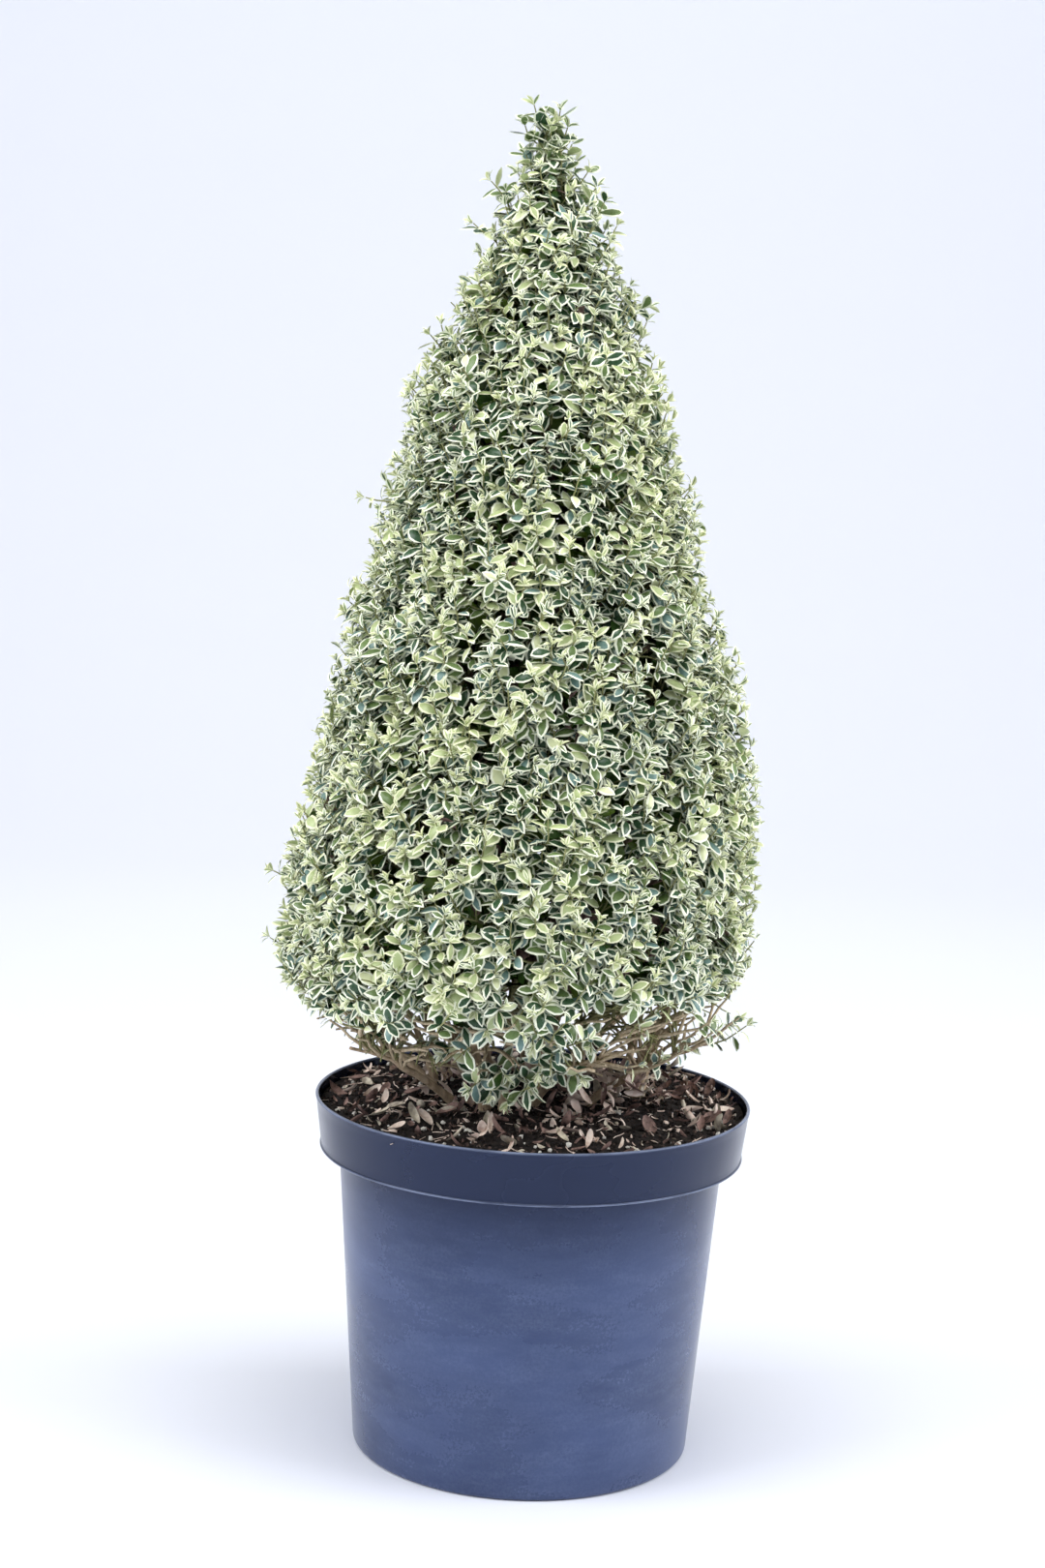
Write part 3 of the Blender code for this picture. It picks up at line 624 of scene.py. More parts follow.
def grow_boughs(wood, rng):
    """Each low bough goes on out under the cone, and droops. Returns what the leaders do."""
    limbs = []
    for number, (name, bearing, distance, reach, droop) in enumerate(SKIRTS):
        towards = math.radians(bearing)
        path = limb_path(crown_point(towards, distance, SOIL_TOP),
                         crown_point(towards, reach, BOUGH_TIP), BOUGH_RINGS, BOUGH_BOW)
        heading = (path[-1] - path[-2]).normalized()
        outward = heading_of(math.radians(SKIRT_FIRST + SKIRT_APART * number))
        onward = [path[-1]]
        for i in range(SKIRT_STEPS):
            turned = heading + (outward * BOUGH_TURN - UP * droop) * (i / SKIRT_STEPS)
            onward.append(onward[-1] + turned.normalized() * (SKIRT_REACH / SKIRT_STEPS))
        onward = crooked(onward, BOUGH_CROOK, rng)
        wood.take(onward)
        limbs.append((f"bough_{name}_low", path, onward, BOUGH_RADIUS))
    return limbs


ENVELOPE_STEPS = 500
BEARING_JITTER = 0.2          # share of the jitter that turns a spot's bearing, in radians
STEEPEST = 3.0


def on_envelope(count, low, high, phase, jitter, rng):
    """Points spread evenly over the clipped outline, each with its outward direction."""
    heights = np.linspace(low, high, ENVELOPE_STEPS)
    radii = envelope(heights)
    rings = np.hypot(np.diff(heights), np.diff(radii)) * (radii[1:] + radii[:-1])
    filled = np.concatenate([[0.0], np.cumsum(rings)])
    slopes = np.gradient(radii, heights)
    spots = []
    for k in range(count):
        share = (k + 0.5 + rng.uniform(-jitter, jitter)) / count
        height = float(np.interp(share * filled[-1], filled, heights))
        bearing = k * GOLDEN_ANGLE + phase + rng.uniform(-jitter, jitter) * BEARING_JITTER
        slope = float(np.clip(np.interp(height, heights, slopes), -STEEPEST, STEEPEST))
        outward = (heading_of(bearing) - UP * slope).normalized()
        spots.append((crown_point(bearing, float(envelope(height)), height), outward))
    return spots


EASY_FORK = 0.5               # a fork whose cosine is under this counts as further away
FORK_COST = 1.2
CLIMB_COST = 1.5
TOO_NEAR = 1.0
FOLLOWED = 0.45               # how much a limb follows the wood it forks from, and the straight way
STRAIGHTENED = 0.4
UPRIGHT_SHARES = (0.8, 1.2)


def grow(wood, spots, shortest, longest, rising, crook, rng, upright=0.0):
    """Each spot gets a limb out of the wood grown so far: from near by, forking at an easy angle,
    and rising to it where it can. It arrives the way the spot says, and holds that way over the
    upright length. Returns the limbs' axes."""
    points, headings = np.array(wood.points), np.array(wood.headings)
    paths = []
    for spot, arrive in spots:
        bend = spot - arrive * upright * rng.uniform(*UPRIGHT_SHARES)
        gaps = np.array(bend) - points
        far = np.linalg.norm(gaps, axis=1) + 1e-9
        turning = np.clip(EASY_FORK - (gaps * headings).sum(axis=1) / far, 0, None)
        sinking = np.clip(rising - gaps[:, 2] / far, 0, None)
        cost = far * (1.0 + FORK_COST * turning + CLIMB_COST * sinking) + np.where(
            far < shortest, TOO_NEAR, 0.0)
        best = int(np.argmin(cost))
        if far[best] > longest:
            continue
        start, heading = Vector(points[best]), Vector(headings[best])
        straight_on = (bend - start).normalized()
        leave = (heading * FOLLOWED + straight_on).normalized()
        turned = (arrive + straight_on * STRAIGHTENED).normalized()
        path = curve_between(start, leave, bend, turned)
        if upright:
            path += curve_between(bend, turned, spot, arrive, UPRIGHT_STEP)[1:]
        paths.append(crooked(path, crook, rng))
    for path in paths:
        wood.take(path)
    return paths


# ---------------- tubes and bark relief

BARK_STEP = 0.0022
BARK_SIDES = 14
JOINT_APART = 0.017           # old leaf joints swell the stem about this far apart
JOINT_SPREAD = 0.09
RIB_HEIGHT, LUMP_HEIGHT, JOINT_HEIGHT = 0.16, 0.10, 0.10     # shares of the limb's radius
RIBS_ROUND, RIBS_ALONG = 2.3, 55.0
LUMPS_ROUND, LUMPS_ALONG = 1.7, 130.0
SEED_STEP = 0.37              # sets each limb's relief off from the last one's
BARE_LENGTH = 0.060           # a stem's flare and first taper lie within this length
FLARE_FALL, TAPER_BOW = 6, 0.8
STEM_SUNK = 0.004
STEM_END, BOUGH_END = 0.0012, 0.0009


def smooth_line(path, step):
    """The path resampled along a Catmull-Rom curve."""
    points = []
    for i in range(len(path) - 1):
        before = path[max(i - 1, 0)]
        a, b = path[i], path[i + 1]
        after = path[min(i + 2, len(path) - 1)]
        count = max(1, round((b - a).length / step))
        for k in range(count):
            t = k / count
            points.append(0.5 * ((2 * a) + (b - before) * t + (2 * before - 5 * a + 4 * b - after)
                                 * t * t + (3 * a - before - 3 * b + after) * t ** 3))
    return points + [path[-1]]


def limb_radius(base, tip, share, walked):
    """Radius along a stem and its leader: flared at the soil, tapering evenly to its tip."""
    risen = min(walked / BARE_LENGTH, 1.0)
    flare = STEM_FLARE * (1.0 - risen) ** FLARE_FALL
    below = base * (1.0 + flare - STEM_TAPER * risen)
    return below if walked <= BARE_LENGTH else below + (tip - below) * share ** TAPER_BOW


def barked_limb(points, faces, path, base, tip, seed):
    """A tube with bark relief: long ribs, swollen leaf joints and small knots."""
    line = smooth_line(path, BARK_STEP)
    first = len(points)
    side = None
    walked = 0.0
    for i, centre in enumerate(line):
        along = (line[min(i + 1, len(line) - 1)] - line[max(i - 1, 0)]).normalized()
        if i:
            walked += (centre - line[i - 1]).length
        if side is None:
            side = along.cross(Vector((0.0, 1.0, 0.0))).normalized()
        side = (side - along * side.dot(along)).normalized()
        other = along.cross(side)
        radius = limb_radius(base, tip, i / (len(line) - 1), walked)
        joint = math.exp(-(((walked / JOINT_APART + seed) % 1.0 - 0.5) / JOINT_SPREAD) ** 2)
        for k in range(BARK_SIDES):
            turn = math.tau * k / BARK_SIDES
            spoke = side * math.cos(turn) + other * math.sin(turn)
            ribs = noise.noise(Vector((
                spoke.x * RIBS_ROUND, spoke.y * RIBS_ROUND, walked * RIBS_ALONG + seed * 9.0)))
            lumps = noise.noise(
                Vector((spoke.x, spoke.y, walked * LUMPS_ALONG + seed)) * LUMPS_ROUND)
            out = radius * (1.0 + RIB_HEIGHT * ribs + LUMP_HEIGHT * lumps + JOINT_HEIGHT * joint)
            points.append(centre + spoke * out)
    last = first + (len(line) - 1) * BARK_SIDES
    for low in range(first, last, BARK_SIDES):
        high = low + BARK_SIDES
        for k in range(BARK_SIDES):
            n = (k + 1) % BARK_SIDES
            faces.append((low + k, low + n, high + n, high + k))
    faces.append(tuple(first + k for k in reversed(range(BARK_SIDES))))
    faces.append(tuple(last + k for k in range(BARK_SIDES)))


def make_stems(limbs):
    points, faces = [], []
    for number, (name, path, onward, radius) in enumerate(limbs):
        whole = [path[0] - UP * STEM_SUNK] + path + onward[1:]
        tip = STEM_END if name.startswith("stem") else BOUGH_END
        barked_limb(points, faces, whole, radius, tip, number * SEED_STEP)
    mesh = mesh_of("stems_and_boughs_bark", points, faces)
    names = [limb[0] for limb in limbs]
    ready(new_object("stems_and_boughs_bark", mesh, BARK), "bark", *names)


def new_tree(name, *inputs):
    """A Geometry Nodes tree with its named inputs, and the sockets that give them inside it."""
    tree = bpy.data.node_groups.new(name, "GeometryNodeTree")
    for label, kind in (("Geometry", "Geometry"), *inputs):
        tree.interface.new_socket(label, in_out="INPUT", socket_type="NodeSocket" + kind)
    tree.interface.new_socket("Geometry", in_out="OUTPUT", socket_type="NodeSocketGeometry")
    return tree, add(tree, "NodeGroupInput").outputs


def tube_tree():
    """Geometry Nodes: every run of edges becomes a closed tube of its own thickness."""
    tree, given = new_tree("twigs_from_lines", ("Sides", "Int"), ("Bark", "Material"))
    round_profile = add(tree, "GeometryNodeCurvePrimitiveCircle", {
        "Resolution": given["Sides"], "Radius": 1.0})
    thickness = add(tree, "GeometryNodeInputNamedAttribute", ("thickness",), data_type="FLOAT")
    lines = add(tree, "GeometryNodeMeshToCurve", (given["Geometry"],))
    tubes = add(tree, "GeometryNodeCurveToMesh", {
        "Curve": lines, "Profile Curve": round_profile, "Scale": thickness, "Fill Caps": True})
    smooth = add(tree, "GeometryNodeSetShadeSmooth", {"Geometry": tubes})
    real = add(tree, "GeometryNodeRealizeInstances", (smooth,))
    barked = add(tree, "GeometryNodeSetMaterial", {"Geometry": real, "Material": given["Bark"]})
    add(tree, "NodeGroupOutput", (barked,))
    return tree


TUBES = tube_tree()


def grown_out(name, source, tree, **settings):
    """Runs a tree on a source mesh and keeps the result as a plain mesh object."""
    carrier = new_object(name + "_source", source)
    modifier = carrier.modifiers.new("grow", "NODES")
    modifier.node_group = tree
    for item in tree.interface.items_tree:
        if item.in_out == "INPUT" and item.name in settings:
            modifier[item.identifier] = settings[item.name]
    bpy.context.view_layer.update()
    graph = bpy.context.evaluated_depsgraph_get()
    mesh = bpy.data.meshes.new_from_object(
        carrier.evaluated_get(graph), preserve_all_data_layers=True, depsgraph=graph)
    carrier.modifiers.remove(modifier)
    bpy.data.objects.remove(carrier)
    mesh.name = name
    return new_object(name, mesh)


def lines_mesh(name, paths, radii):
    """All the axes as loose runs of edges, with a thickness at each point."""
    points, edges, thickness = [], [], []
    for path, (thick, thin) in zip(paths, radii):
        first, steps = len(points), len(path) - 1
        points += [tuple(point) for point in path]
        thickness += [thick + (thin - thick) * i / steps for i in range(steps + 1)]
        edges += [(first + i, first + i + 1) for i in range(steps)]
    mesh = bpy.data.meshes.new(name)
    mesh.from_pydata(points, edges, [])
    mesh.attributes.new("thickness", "FLOAT", "POINT").data.foreach_set("value", thickness)
    return mesh


TOLD = (("turn", "QUATERNION"), ("size", "FLOAT_VECTOR"), ("blank", "INT"), ("tint", "INT"))


def points_tree(name, finishes, margins=()):
    """Geometry Nodes: a blank on each point, turned, sized and finished as the point says. A face
    in a leaf's margin takes the margin's finish."""
    tree, given = new_tree(name, ("Length", "Float"), ("Blanks", "Collection"))
    told = {
        attribute: add(tree, "GeometryNodeInputNamedAttribute", (attribute,), data_type=kind)
        for attribute, kind in (*TOLD, ("margin", "INT"))}
    blanks = add(tree, "GeometryNodeCollectionInfo", {
        "Collection": given["Blanks"], "Separate Children": True, "Reset Children": True})
    sized = add(tree, "ShaderNodeVectorMath", (told["size"], given["Length"]), operation="SCALE")
    dots = add(tree, "GeometryNodeMeshToPoints", {"Mesh": given["Geometry"]})
    placed = add(tree, "GeometryNodeInstanceOnPoints", {
        "Points": dots, "Instance": blanks, "Pick Instance": True,
        "Instance Index": told["blank"], "Rotation": told["turn"], "Scale": sized})
    shown = add(tree, "GeometryNodeRealizeInstances", (placed,))
    margins_first = add(tree, "ShaderNodeMath", (told["margin"], float(len(finishes))),
                        operation="MULTIPLY")
    finish = add(tree, "ShaderNodeMath", (margins_first, told["tint"]), operation="ADD")
    for number, material in enumerate((*finishes, *margins)):
        chosen = add(tree, "FunctionNodeCompare", (finish, float(number), 0.1),
                     data_type="FLOAT", operation="EQUAL")
        shown = add(tree, "GeometryNodeSetMaterial", (shown, chosen, material))
    add(tree, "NodeGroupOutput", (shown,))
    return tree


def told_points(spots):
    """Points that carry what stands on each: its turn, its size, its blank and its tint."""
    places, *told = zip(*spots)
    mesh = bpy.data.meshes.new("told_points")
    mesh.from_pydata([tuple(place) for place in places], [], [])
    for (name, kind), values in zip(TOLD, told):
        field = "vector" if kind == "FLOAT_VECTOR" else "value"
        attribute = mesh.attributes.new(name, kind, "POINT")
        attribute.data.foreach_set(field, np.ravel([
            value if kind == "INT" else tuple(value) for value in values]).tolist())
    return mesh


# ---------------- leaves

LEAF_LENGTH = 0.0136
LEAF_ROWS = (0.25, 0.54, 0.81)
SHADED_ROWS = (0.36, 0.72)
BLADE_END = 0.90
BLADE_LEAST = 0.3             # share of a leaf's breadth that its blade takes at least


def leaf_form(width, fullest, taper, curl, dome, fold, twist):
    """A function from a place on a flat leaf of unit length to its place on the shaped one, and
    one for the half width. Curl arches the tip down, dome rolls the margins down and fold lifts
    them."""
    def shaped(across, along):
        bend = curl * along
        share = abs(across) / (width / 2.0)
        height = fold * share - dome * share ** 2
        turn = twist * along
        side = across * math.cos(turn) - height * math.sin(turn)
        lift = across * math.sin(turn) + height * math.cos(turn)
        return (side, math.sin(bend) / curl + lift * math.sin(bend),
                (math.cos(bend) - 1.0) / curl + lift * math.cos(bend))

    def half_width(along):
        even = along ** (math.log(0.5) / math.log(fullest))
        return width / 2.0 * math.sin(math.pi * even) ** taper

    return shaped, half_width


def leaf_blank(margin, *form):
    """A leaf of unit length along +Y, its upper side to +Z: a dark blade inside a pale margin."""
    shaped, half_width = leaf_form(*form)
    points = [shaped(0.0, 0.0)]
    for row in LEAF_ROWS:
        outer = half_width(row)
        inner = max(outer - margin, outer * BLADE_LEAST)
        points += [shaped(x, row) for x in (-outer, -inner, 0.0, inner, outer)]
    points += [shaped(0.0, BLADE_END), shaped(0.0, 1.0)]
    blade = [(0, 3, 2), (0, 4, 3), (2, 3, 8, 7), (3, 4, 9, 8), (7, 8, 13, 12), (8, 9, 14, 13),
             (12, 13, 16), (13, 14, 16)]
    border = [(0, 2, 1), (0, 5, 4), (1, 2, 7, 6), (4, 5, 10, 9), (6, 7, 12, 11), (9, 10, 15, 14),
              (11, 12, 16, 17), (14, 15, 17, 16)]
    mesh = mesh_of("leaf_blank", points, blade + border)
    mesh.attributes.new("margin", "INT", "FACE").data.foreach_set(
        "value", [0] * len(blade) + [1] * len(border))
    return mesh


def shaded_leaf_blank(*form):
    """A plainer leaf for the dark inside of the plant, where no margin shows."""
    shaped, half_width = leaf_form(*form)
    points = [shaped(0.0, 0.0)]
    for row in SHADED_ROWS:
        points += [shaped(x, row) for x in (-half_width(row), 0.0, half_width(row))]
    points.append(shaped(0.0, 1.0))
    faces = [(0, 2, 1), (0, 3, 2), (1, 2, 5, 4), (2, 3, 6, 5), (4, 5, 7), (5, 6, 7)]
    mesh = mesh_of("leaf_blank", points, faces)
    mesh.attributes.new("margin", "INT", "FACE")
    return mesh


LEAF_FORMS = (
    # margin, width, place of the widest part, taper to the ends, curl, dome, fold, twist
    (0.075, 0.52, 0.50, 0.72, 1.15, 0.06, 0.00, 0.10),
    (0.085, 0.49, 0.53, 0.75, 1.50, 0.07, 0.00, 0.15),
    (0.080, 0.57, 0.51, 0.66, 0.85, 0.07, 0.00, -0.10),
    (0.100, 0.46, 0.47, 0.88, 1.25, 0.01, -0.05, -0.25),
    (0.090, 0.42, 0.50, 0.88, 1.80, 0.08, 0.00, 0.20),
    (0.090, 0.70, 0.55, 0.55, 0.50, 0.05, 0.00, 0.05),
    (0.130, 0.40, 0.48, 0.85, 0.60, -0.03, 0.06, 0.05),
    (0.150, 0.37, 0.46, 0.90, 1.20, 0.00, 0.06, 0.10),
)
SHADED_FORM = (0.62, 0.50, 0.65, 0.70, 0.04, 0.00, 0.10)

# The numbers of the forms that each kind of shoot bears.
GROWN = (0, 0, 1, 1, 2, 3, 3, 4)
ROUND = (5, 2, 0, 1)
YOUNG = (6, 6, 7)
SHADED = (8,)

# How a kind of shoot bears its leaves: over what length, how far apart, how large, of which forms,
# how far open in degrees, and how many pairs close up at its tip.
Shoot = namedtuple("Shoot", "leafy spacing scale blanks opening pairs_at_tip")
OUTER = Shoot(0.024, 0.0050, 1.0, GROWN, (34, 62), 3)
INNER = Shoot(0.030, 0.0060, 1.15, SHADED, (30, 75), 1)
LEADING = Shoot(0.030, 0.0066, 1.12, ROUND, (26, 55), 2)
SPARSE = Shoot(0.009, 0.0050, 0.85, GROWN, (30, 60), 2)

LEAFLESS_FOOT = 0.08          # share of a shoot's length that bears no leaf at least
LEAF_MISSING = 0.06
TIP_SPACING = 0.0009
LEAF_SWAY = 0.35
LEAF_WAVER = 0.36
LEAF_LEAN = (-0.22, 0.08)     # leaves hang a little more than they rise
LEAF_TO_LIGHT = 0.15          # how much a leaf's upper side turns up
LEAF_SCALE = (0.80, 1.15)
LEAF_BREADTH = (0.85, 1.15)
BUD_SCALE = (0.62, 0.80)
BUD_OPENING = (26, 46)
BUD_CLOSING = 6               # each pair at the tip is this many degrees less open
BUD_SHRINKING = 0.12

CREAMY_BELOW, PLAIN_BELOW = 0.06, 0.07     # of the number drawn for odd leaves, from 0 to 1
# a share of the old dark blades takes the painted blue-grey sheen
BLUE_SHEEN_ABOVE = 0.78
AGE_COUNTS, MOOD_COUNTS, TINT_WAVER = 0.55, 0.45, 0.28
OLD_BELOW, GREY_BELOW = 0.43, 0.62


def leaf_turn(direction, upper):
    """Turns a blank so that it points along a direction with its upper side the given way."""
    across = direction.cross(upper)
    if across.length < 1e-5:
        across = direction.cross(Vector((1.0, 0.0, 0.0)))
    across.normalize()
    upper = across.cross(direction)
    return Matrix((across, direction, upper)).transposed().to_quaternion()


def tint_of(age, mood, rng):
    """The tint of a leaf: the old ones are dark, those at the tip pale, and a few are odd. Some of
    the dark old ones take a blue-grey base colour, a painted sky sheen.
    """
    odd = rng.random()
    if odd < PLAIN_BELOW:
        return CREAMY if odd < CREAMY_BELOW else PLAIN
    pale = AGE_COUNTS * age + MOOD_COUNTS * mood + rng.uniform(-TINT_WAVER, TINT_WAVER)
    if pale < OLD_BELOW:
        return BLUE_SHEEN if odd > BLUE_SHEEN_ABOVE else OLD
    return GREY if pale < GREY_BELOW else FRESH


def point_along(path, distance):
    """The point and the heading at a distance along a run of points."""
    for a, b in zip(path, path[1:]):
        step = (b - a).length
        if distance <= step or b is path[-1]:
            return a.lerp(b, min(1.0, distance / step)), (b - a).normalized()
        distance -= step


def dress(path, kind, size, tint_at, rng, leaves, allowed):
    """Crossed pairs of leaves along the outer part of a shoot, closing to a small rosette."""
    total = sum((b - a).length for a, b in zip(path, path[1:]))
    start = max(total * LEAFLESS_FOOT, total - kind.leafy)
    joints = max(2, round((total - start) / kind.spacing))
    twist = rng.uniform(0.0, math.pi)
    for joint in range(joints + kind.pairs_at_tip):
        tight = joint - joints + 1
        share = min(1.0, (start + (total - start) * min(joint, joints) / joints) / total)
        root, along = point_along(path, share * total)
        root = root + along * TIP_SPACING * max(0, tight - 1)
        age = joint / (joints + kind.pairs_at_tip - 1.0)
        side = along.orthogonal().normalized()
        other = along.cross(side)
        for way in (0.0, math.pi):
            if rng.random() < LEAF_MISSING:
                continue
            turn = twist + joint * math.pi / 2.0 + way + rng.uniform(-LEAF_SWAY, LEAF_SWAY)
            spoke = side * math.cos(turn) + other * math.sin(turn)
            if tight > 0:
                opening = math.radians(rng.uniform(*BUD_OPENING) - BUD_CLOSING * tight)
                length = size * kind.scale * rng.uniform(*BUD_SCALE) * (
                    1.0 - BUD_SHRINKING * tight)
                blank = rng.choice(YOUNG if tight > 1 or kind.blanks is GROWN else kind.blanks)
            else:
                opening = math.radians(rng.uniform(*kind.opening))
                length = size * kind.scale * rng.uniform(*LEAF_SCALE)
                blank = rng.choice(kind.blanks)
            direction = along * math.cos(opening) + spoke * math.sin(opening)
            direction = (direction + UP * rng.uniform(*LEAF_LEAN)).normalized()
            upper = along + UP * LEAF_TO_LIGHT + wander(LEAF_WAVER, rng)
            if not allowed(root + direction * LEAF_LENGTH * length):
                continue
            broad = length * rng.uniform(*LEAF_BREADTH)
            leaves.append((root, leaf_turn(direction, upper), (broad, length, length), blank,
                           tint_at(age)))


# ---------------- the clipped outline

CLIP_MARKS = (
    # where the shears cut deeper or left more: bearing, height, how wide and how tall, how far out
    (180.0, 0.445, 50.0, 0.070, -0.010), (182.0, 0.350, 50.0, 0.050, -0.002),
    (2.0, 0.300, 45.0, 0.040, -0.011), (0.0, 0.370, 45.0, 0.050, -0.007),
    (-4.0, 0.775, 70.0, 0.040, 0.002), (4.0, 0.690, 60.0, 0.040, 0.004),
    (178.0, 0.668, 50.0, 0.022, 0.009), (184.0, 0.565, 50.0, 0.045, -0.009),
    (0.0, 0.555, 50.0, 0.040, -0.005), (0.0, 0.642, 50.0, 0.020, -0.004),
    (0.0, 0.703, 50.0, 0.014, -0.007), (180.0, 0.645, 50.0, 0.014, -0.007),
    (180.0, 0.536, 45.0, 0.016, 0.008), (180.0, 0.612, 45.0, 0.014, 0.001),
    (180.0, 0.718, 45.0, 0.014, 0.003), (180.0, 0.496, 45.0, 0.014, -0.004),
    (0.0, 0.716, 50.0, 0.014, 0.005), (0.0, 0.752, 50.0, 0.014, 0.005),
    (0.0, 0.574, 50.0, 0.018, -0.004), (0.0, 0.499, 50.0, 0.016, 0.004),
    (90.0, 0.600, 40.0, 0.040, -0.006), (80.0, 0.420, 45.0, 0.050, -0.006),
    (-95.0, 0.700, 40.0, 0.030, -0.005), (110.0, 0.730, 45.0, 0.030, 0.004),
    (0.0, 0.480, 50.0, 0.030, -0.003), (0.0, 0.537, 50.0, 0.016, -0.003),
)
HEM = (
    # bearing, and the height under which no leaf hangs there
    (-180.0, 0.276), (-150.0, 0.287), (-125.0, 0.290), (-108.0, 0.286), (-96.0, 0.264),
    (-78.0, 0.258), (-68.0, 0.270), (-58.0, 0.290), (-40.0, 0.302), (-20.0, 0.303),
    (0.0, 0.298), (35.0, 0.276), (90.0, 0.262), (140.0, 0.268), (180.0, 0.276),
)
HEM_TOP = 0.32
HEM_RAGGED = 0.030
HEM_RAGS_APART = 0.016
LOWEST_REACH = 0.262          # lower than this the plant reaches out as far as here
REACH_SLACK = 0.004
READ_BELOW = 0.003            # the outline is read this far under a leaf's tip
INSIDE_FLOOR = 0.296
CLEAR_OF_SOIL = 0.0015

OPEN_SIDE = (-60.0, 24.0)     # bearings between which the foot of the plant stands open
OPEN_TOP = 0.318
THIN_TOP = 0.79               # the plant thins out over this height
BARE_AT_TOP, BARER_A_METRE = 0.3, 14.0     # share of the spots left bare there, and its growth
HEM_SHARES = (
    # height up to which they hold, share of the spots kept on the open side, share kept elsewhere
    (0.298, 0.18, 0.26), (0.31, 0.30, 0.50),
)
POCKET_SIZE = 0.024           # the surface dips into dark pockets about this far apart
POCKETS_AT = Vector((3.1, 7.7, 1.9))
POCKET_EDGE, POCKET_STEEPNESS, DEEP_POCKET = 0.08, 2.6, 0.8
POCKET_DEPTH = 0.013
POCKET_BARE = 0.35            # share of the spots in the deepest pockets that stay bare
UNDERSIDE_OPEN = 0.078        # under the plant there are no leaves nearer the axis than this
DEEPEST = 0.75                # share of the way to the axis that a spot may move in
SHOOT_WAVER = 0.36
OUTWARD = 0.70                # how much a shoot points out, and how much it points up
UPWARD, UPWARD_ABOVE, UPWARD_OVER = 0.15, 0.55, 0.05


def bearing_of(spot):
    return math.degrees(math.atan2(spot.y - CROWN_Y, spot.x - CROWN_X))


def from_axis(spot):
    return math.hypot(spot.x - CROWN_X, spot.y - CROWN_Y)


def on_open_side(spot):
    return OPEN_SIDE[0] < bearing_of(spot) < OPEN_SIDE[1]


def clip_offset(spot):
    """How far the plant stands out of its even outline at a place."""
    out = 0.0
    bearing = bearing_of(spot)
    for at, level, wide, tall, by in CLIP_MARKS:
        turn = (bearing - at + 180.0) % 360.0 - 180.0
        out += by * math.exp(-(turn / wide) ** 2 - ((spot.z - level) / tall) ** 2)
    return out


def hem_height(spot):
    """Lowest height of the leaves over a place, with its ragged edge."""
    ragged = HEM_RAGGED * noise.noise(Vector((spot.x, spot.y, 0.0)) / HEM_RAGS_APART)
    return float(np.interp(bearing_of(spot), *zip(*HEM))) + ragged


def in_reach(point):
    """True where a leaf's tip stays within the plant's outline, and over its hem."""
    if point.z < HEM_TOP and point.z < hem_height(point):
        return False
    limit = float(envelope(max(point.z - READ_BELOW, LOWEST_REACH))) + clip_offset(point)
    return from_axis(point) < limit + REACH_SLACK


def inside(point):
    return point.z > INSIDE_FLOOR and in_reach(point)


def over_soil(point):
    lowest = soil_height(math.hypot(point.x, point.y)) + CLEAR_OF_SOIL
    return lowest < point.z < CROWN_TIP + REACH_SLACK


def pockets(spot):
    """From 0 on the surface's humps to 1 in the middle of a dark pocket."""
    value = noise.noise(Vector(spot) / POCKET_SIZE + POCKETS_AT)
    return within_one((value - POCKET_EDGE) * POCKET_STEEPNESS)


def thinned(spot, rng):
    """True for a spot left bare: the plant thins at its tip and at its foot, above all where the
    foot stands open."""
    if spot.z > THIN_TOP:
        return rng.random() < BARE_AT_TOP + BARER_A_METRE * (spot.z - THIN_TOP)
    for height, in_the_open, elsewhere in HEM_SHARES:
        if spot.z < height:
            return rng.random() > (in_the_open if on_open_side(spot) else elsewhere)
    return False


def pushed_in(spots, depth, rng, leafy):
    """The spots moved in from the outline, deeper in the pockets. Those under the stems go."""
    moved = []
    for spot, outward in spots:
        if spot.z < CORE_FLOOR and from_axis(spot) < UNDERSIDE_OPEN:
            continue
        inward = rng.uniform(*depth) - clip_offset(spot)
        if leafy:
            dip = pockets(spot)
            if thinned(spot, rng) or (dip > DEEP_POCKET and rng.random() < POCKET_BARE):
                continue
            inward += POCKET_DEPTH * dip
        moved.append((spot - outward * min(inward, DEEPEST * from_axis(spot)), outward))
    return moved


def lifted(spots, rng):
    """Shoots turn up to the light as they come out, and none quite as its neighbour does."""
    turned = []
    for spot, outward in spots:
        stray = wander(SHOOT_WAVER, rng)
        up = UPWARD + UPWARD_ABOVE * within_one((spot.z - CORE_FLOOR) / UPWARD_OVER)
        turned.append((spot, (outward * OUTWARD + UP * up + stray).normalized()))
    return turned


# ---------------- growing the plant

PLANT_SEED = 7
WOOD_ORDERS = (
    # Laterals, twigs and bare twigs: how many; from what height to what; bearing of the first;
    # how deep inside the outline; nearest and furthest fork, rise and crook.
    (150, 0.262, 0.80, 0.4, (0.0476, 0.0644), (0.02, 0.2, 0.30, 0.0014)),
    (820, 0.252, 0.825, 1.7, (0.0216, 0.0324), (0.014, 0.11, 0.20, 0.0010)),
    (500, 0.262, 0.80, 4.1, (0.030, 0.075), (0.015, 0.07, 0.0, 0.0010)),
)
FOOT_TWIGS = (210, 0.246, 0.300, 6.1, 0.5)
FOOT_DEPTH = (0.004, 0.022)
FOOT_RISE = 0.8
SHOOTS = (2600, 0.244, 0.838, 2.9, (0.000, 0.010))
INNER_SHOOTS = (2100, 0.262, 0.80, 5.3, (0.018, 0.066))
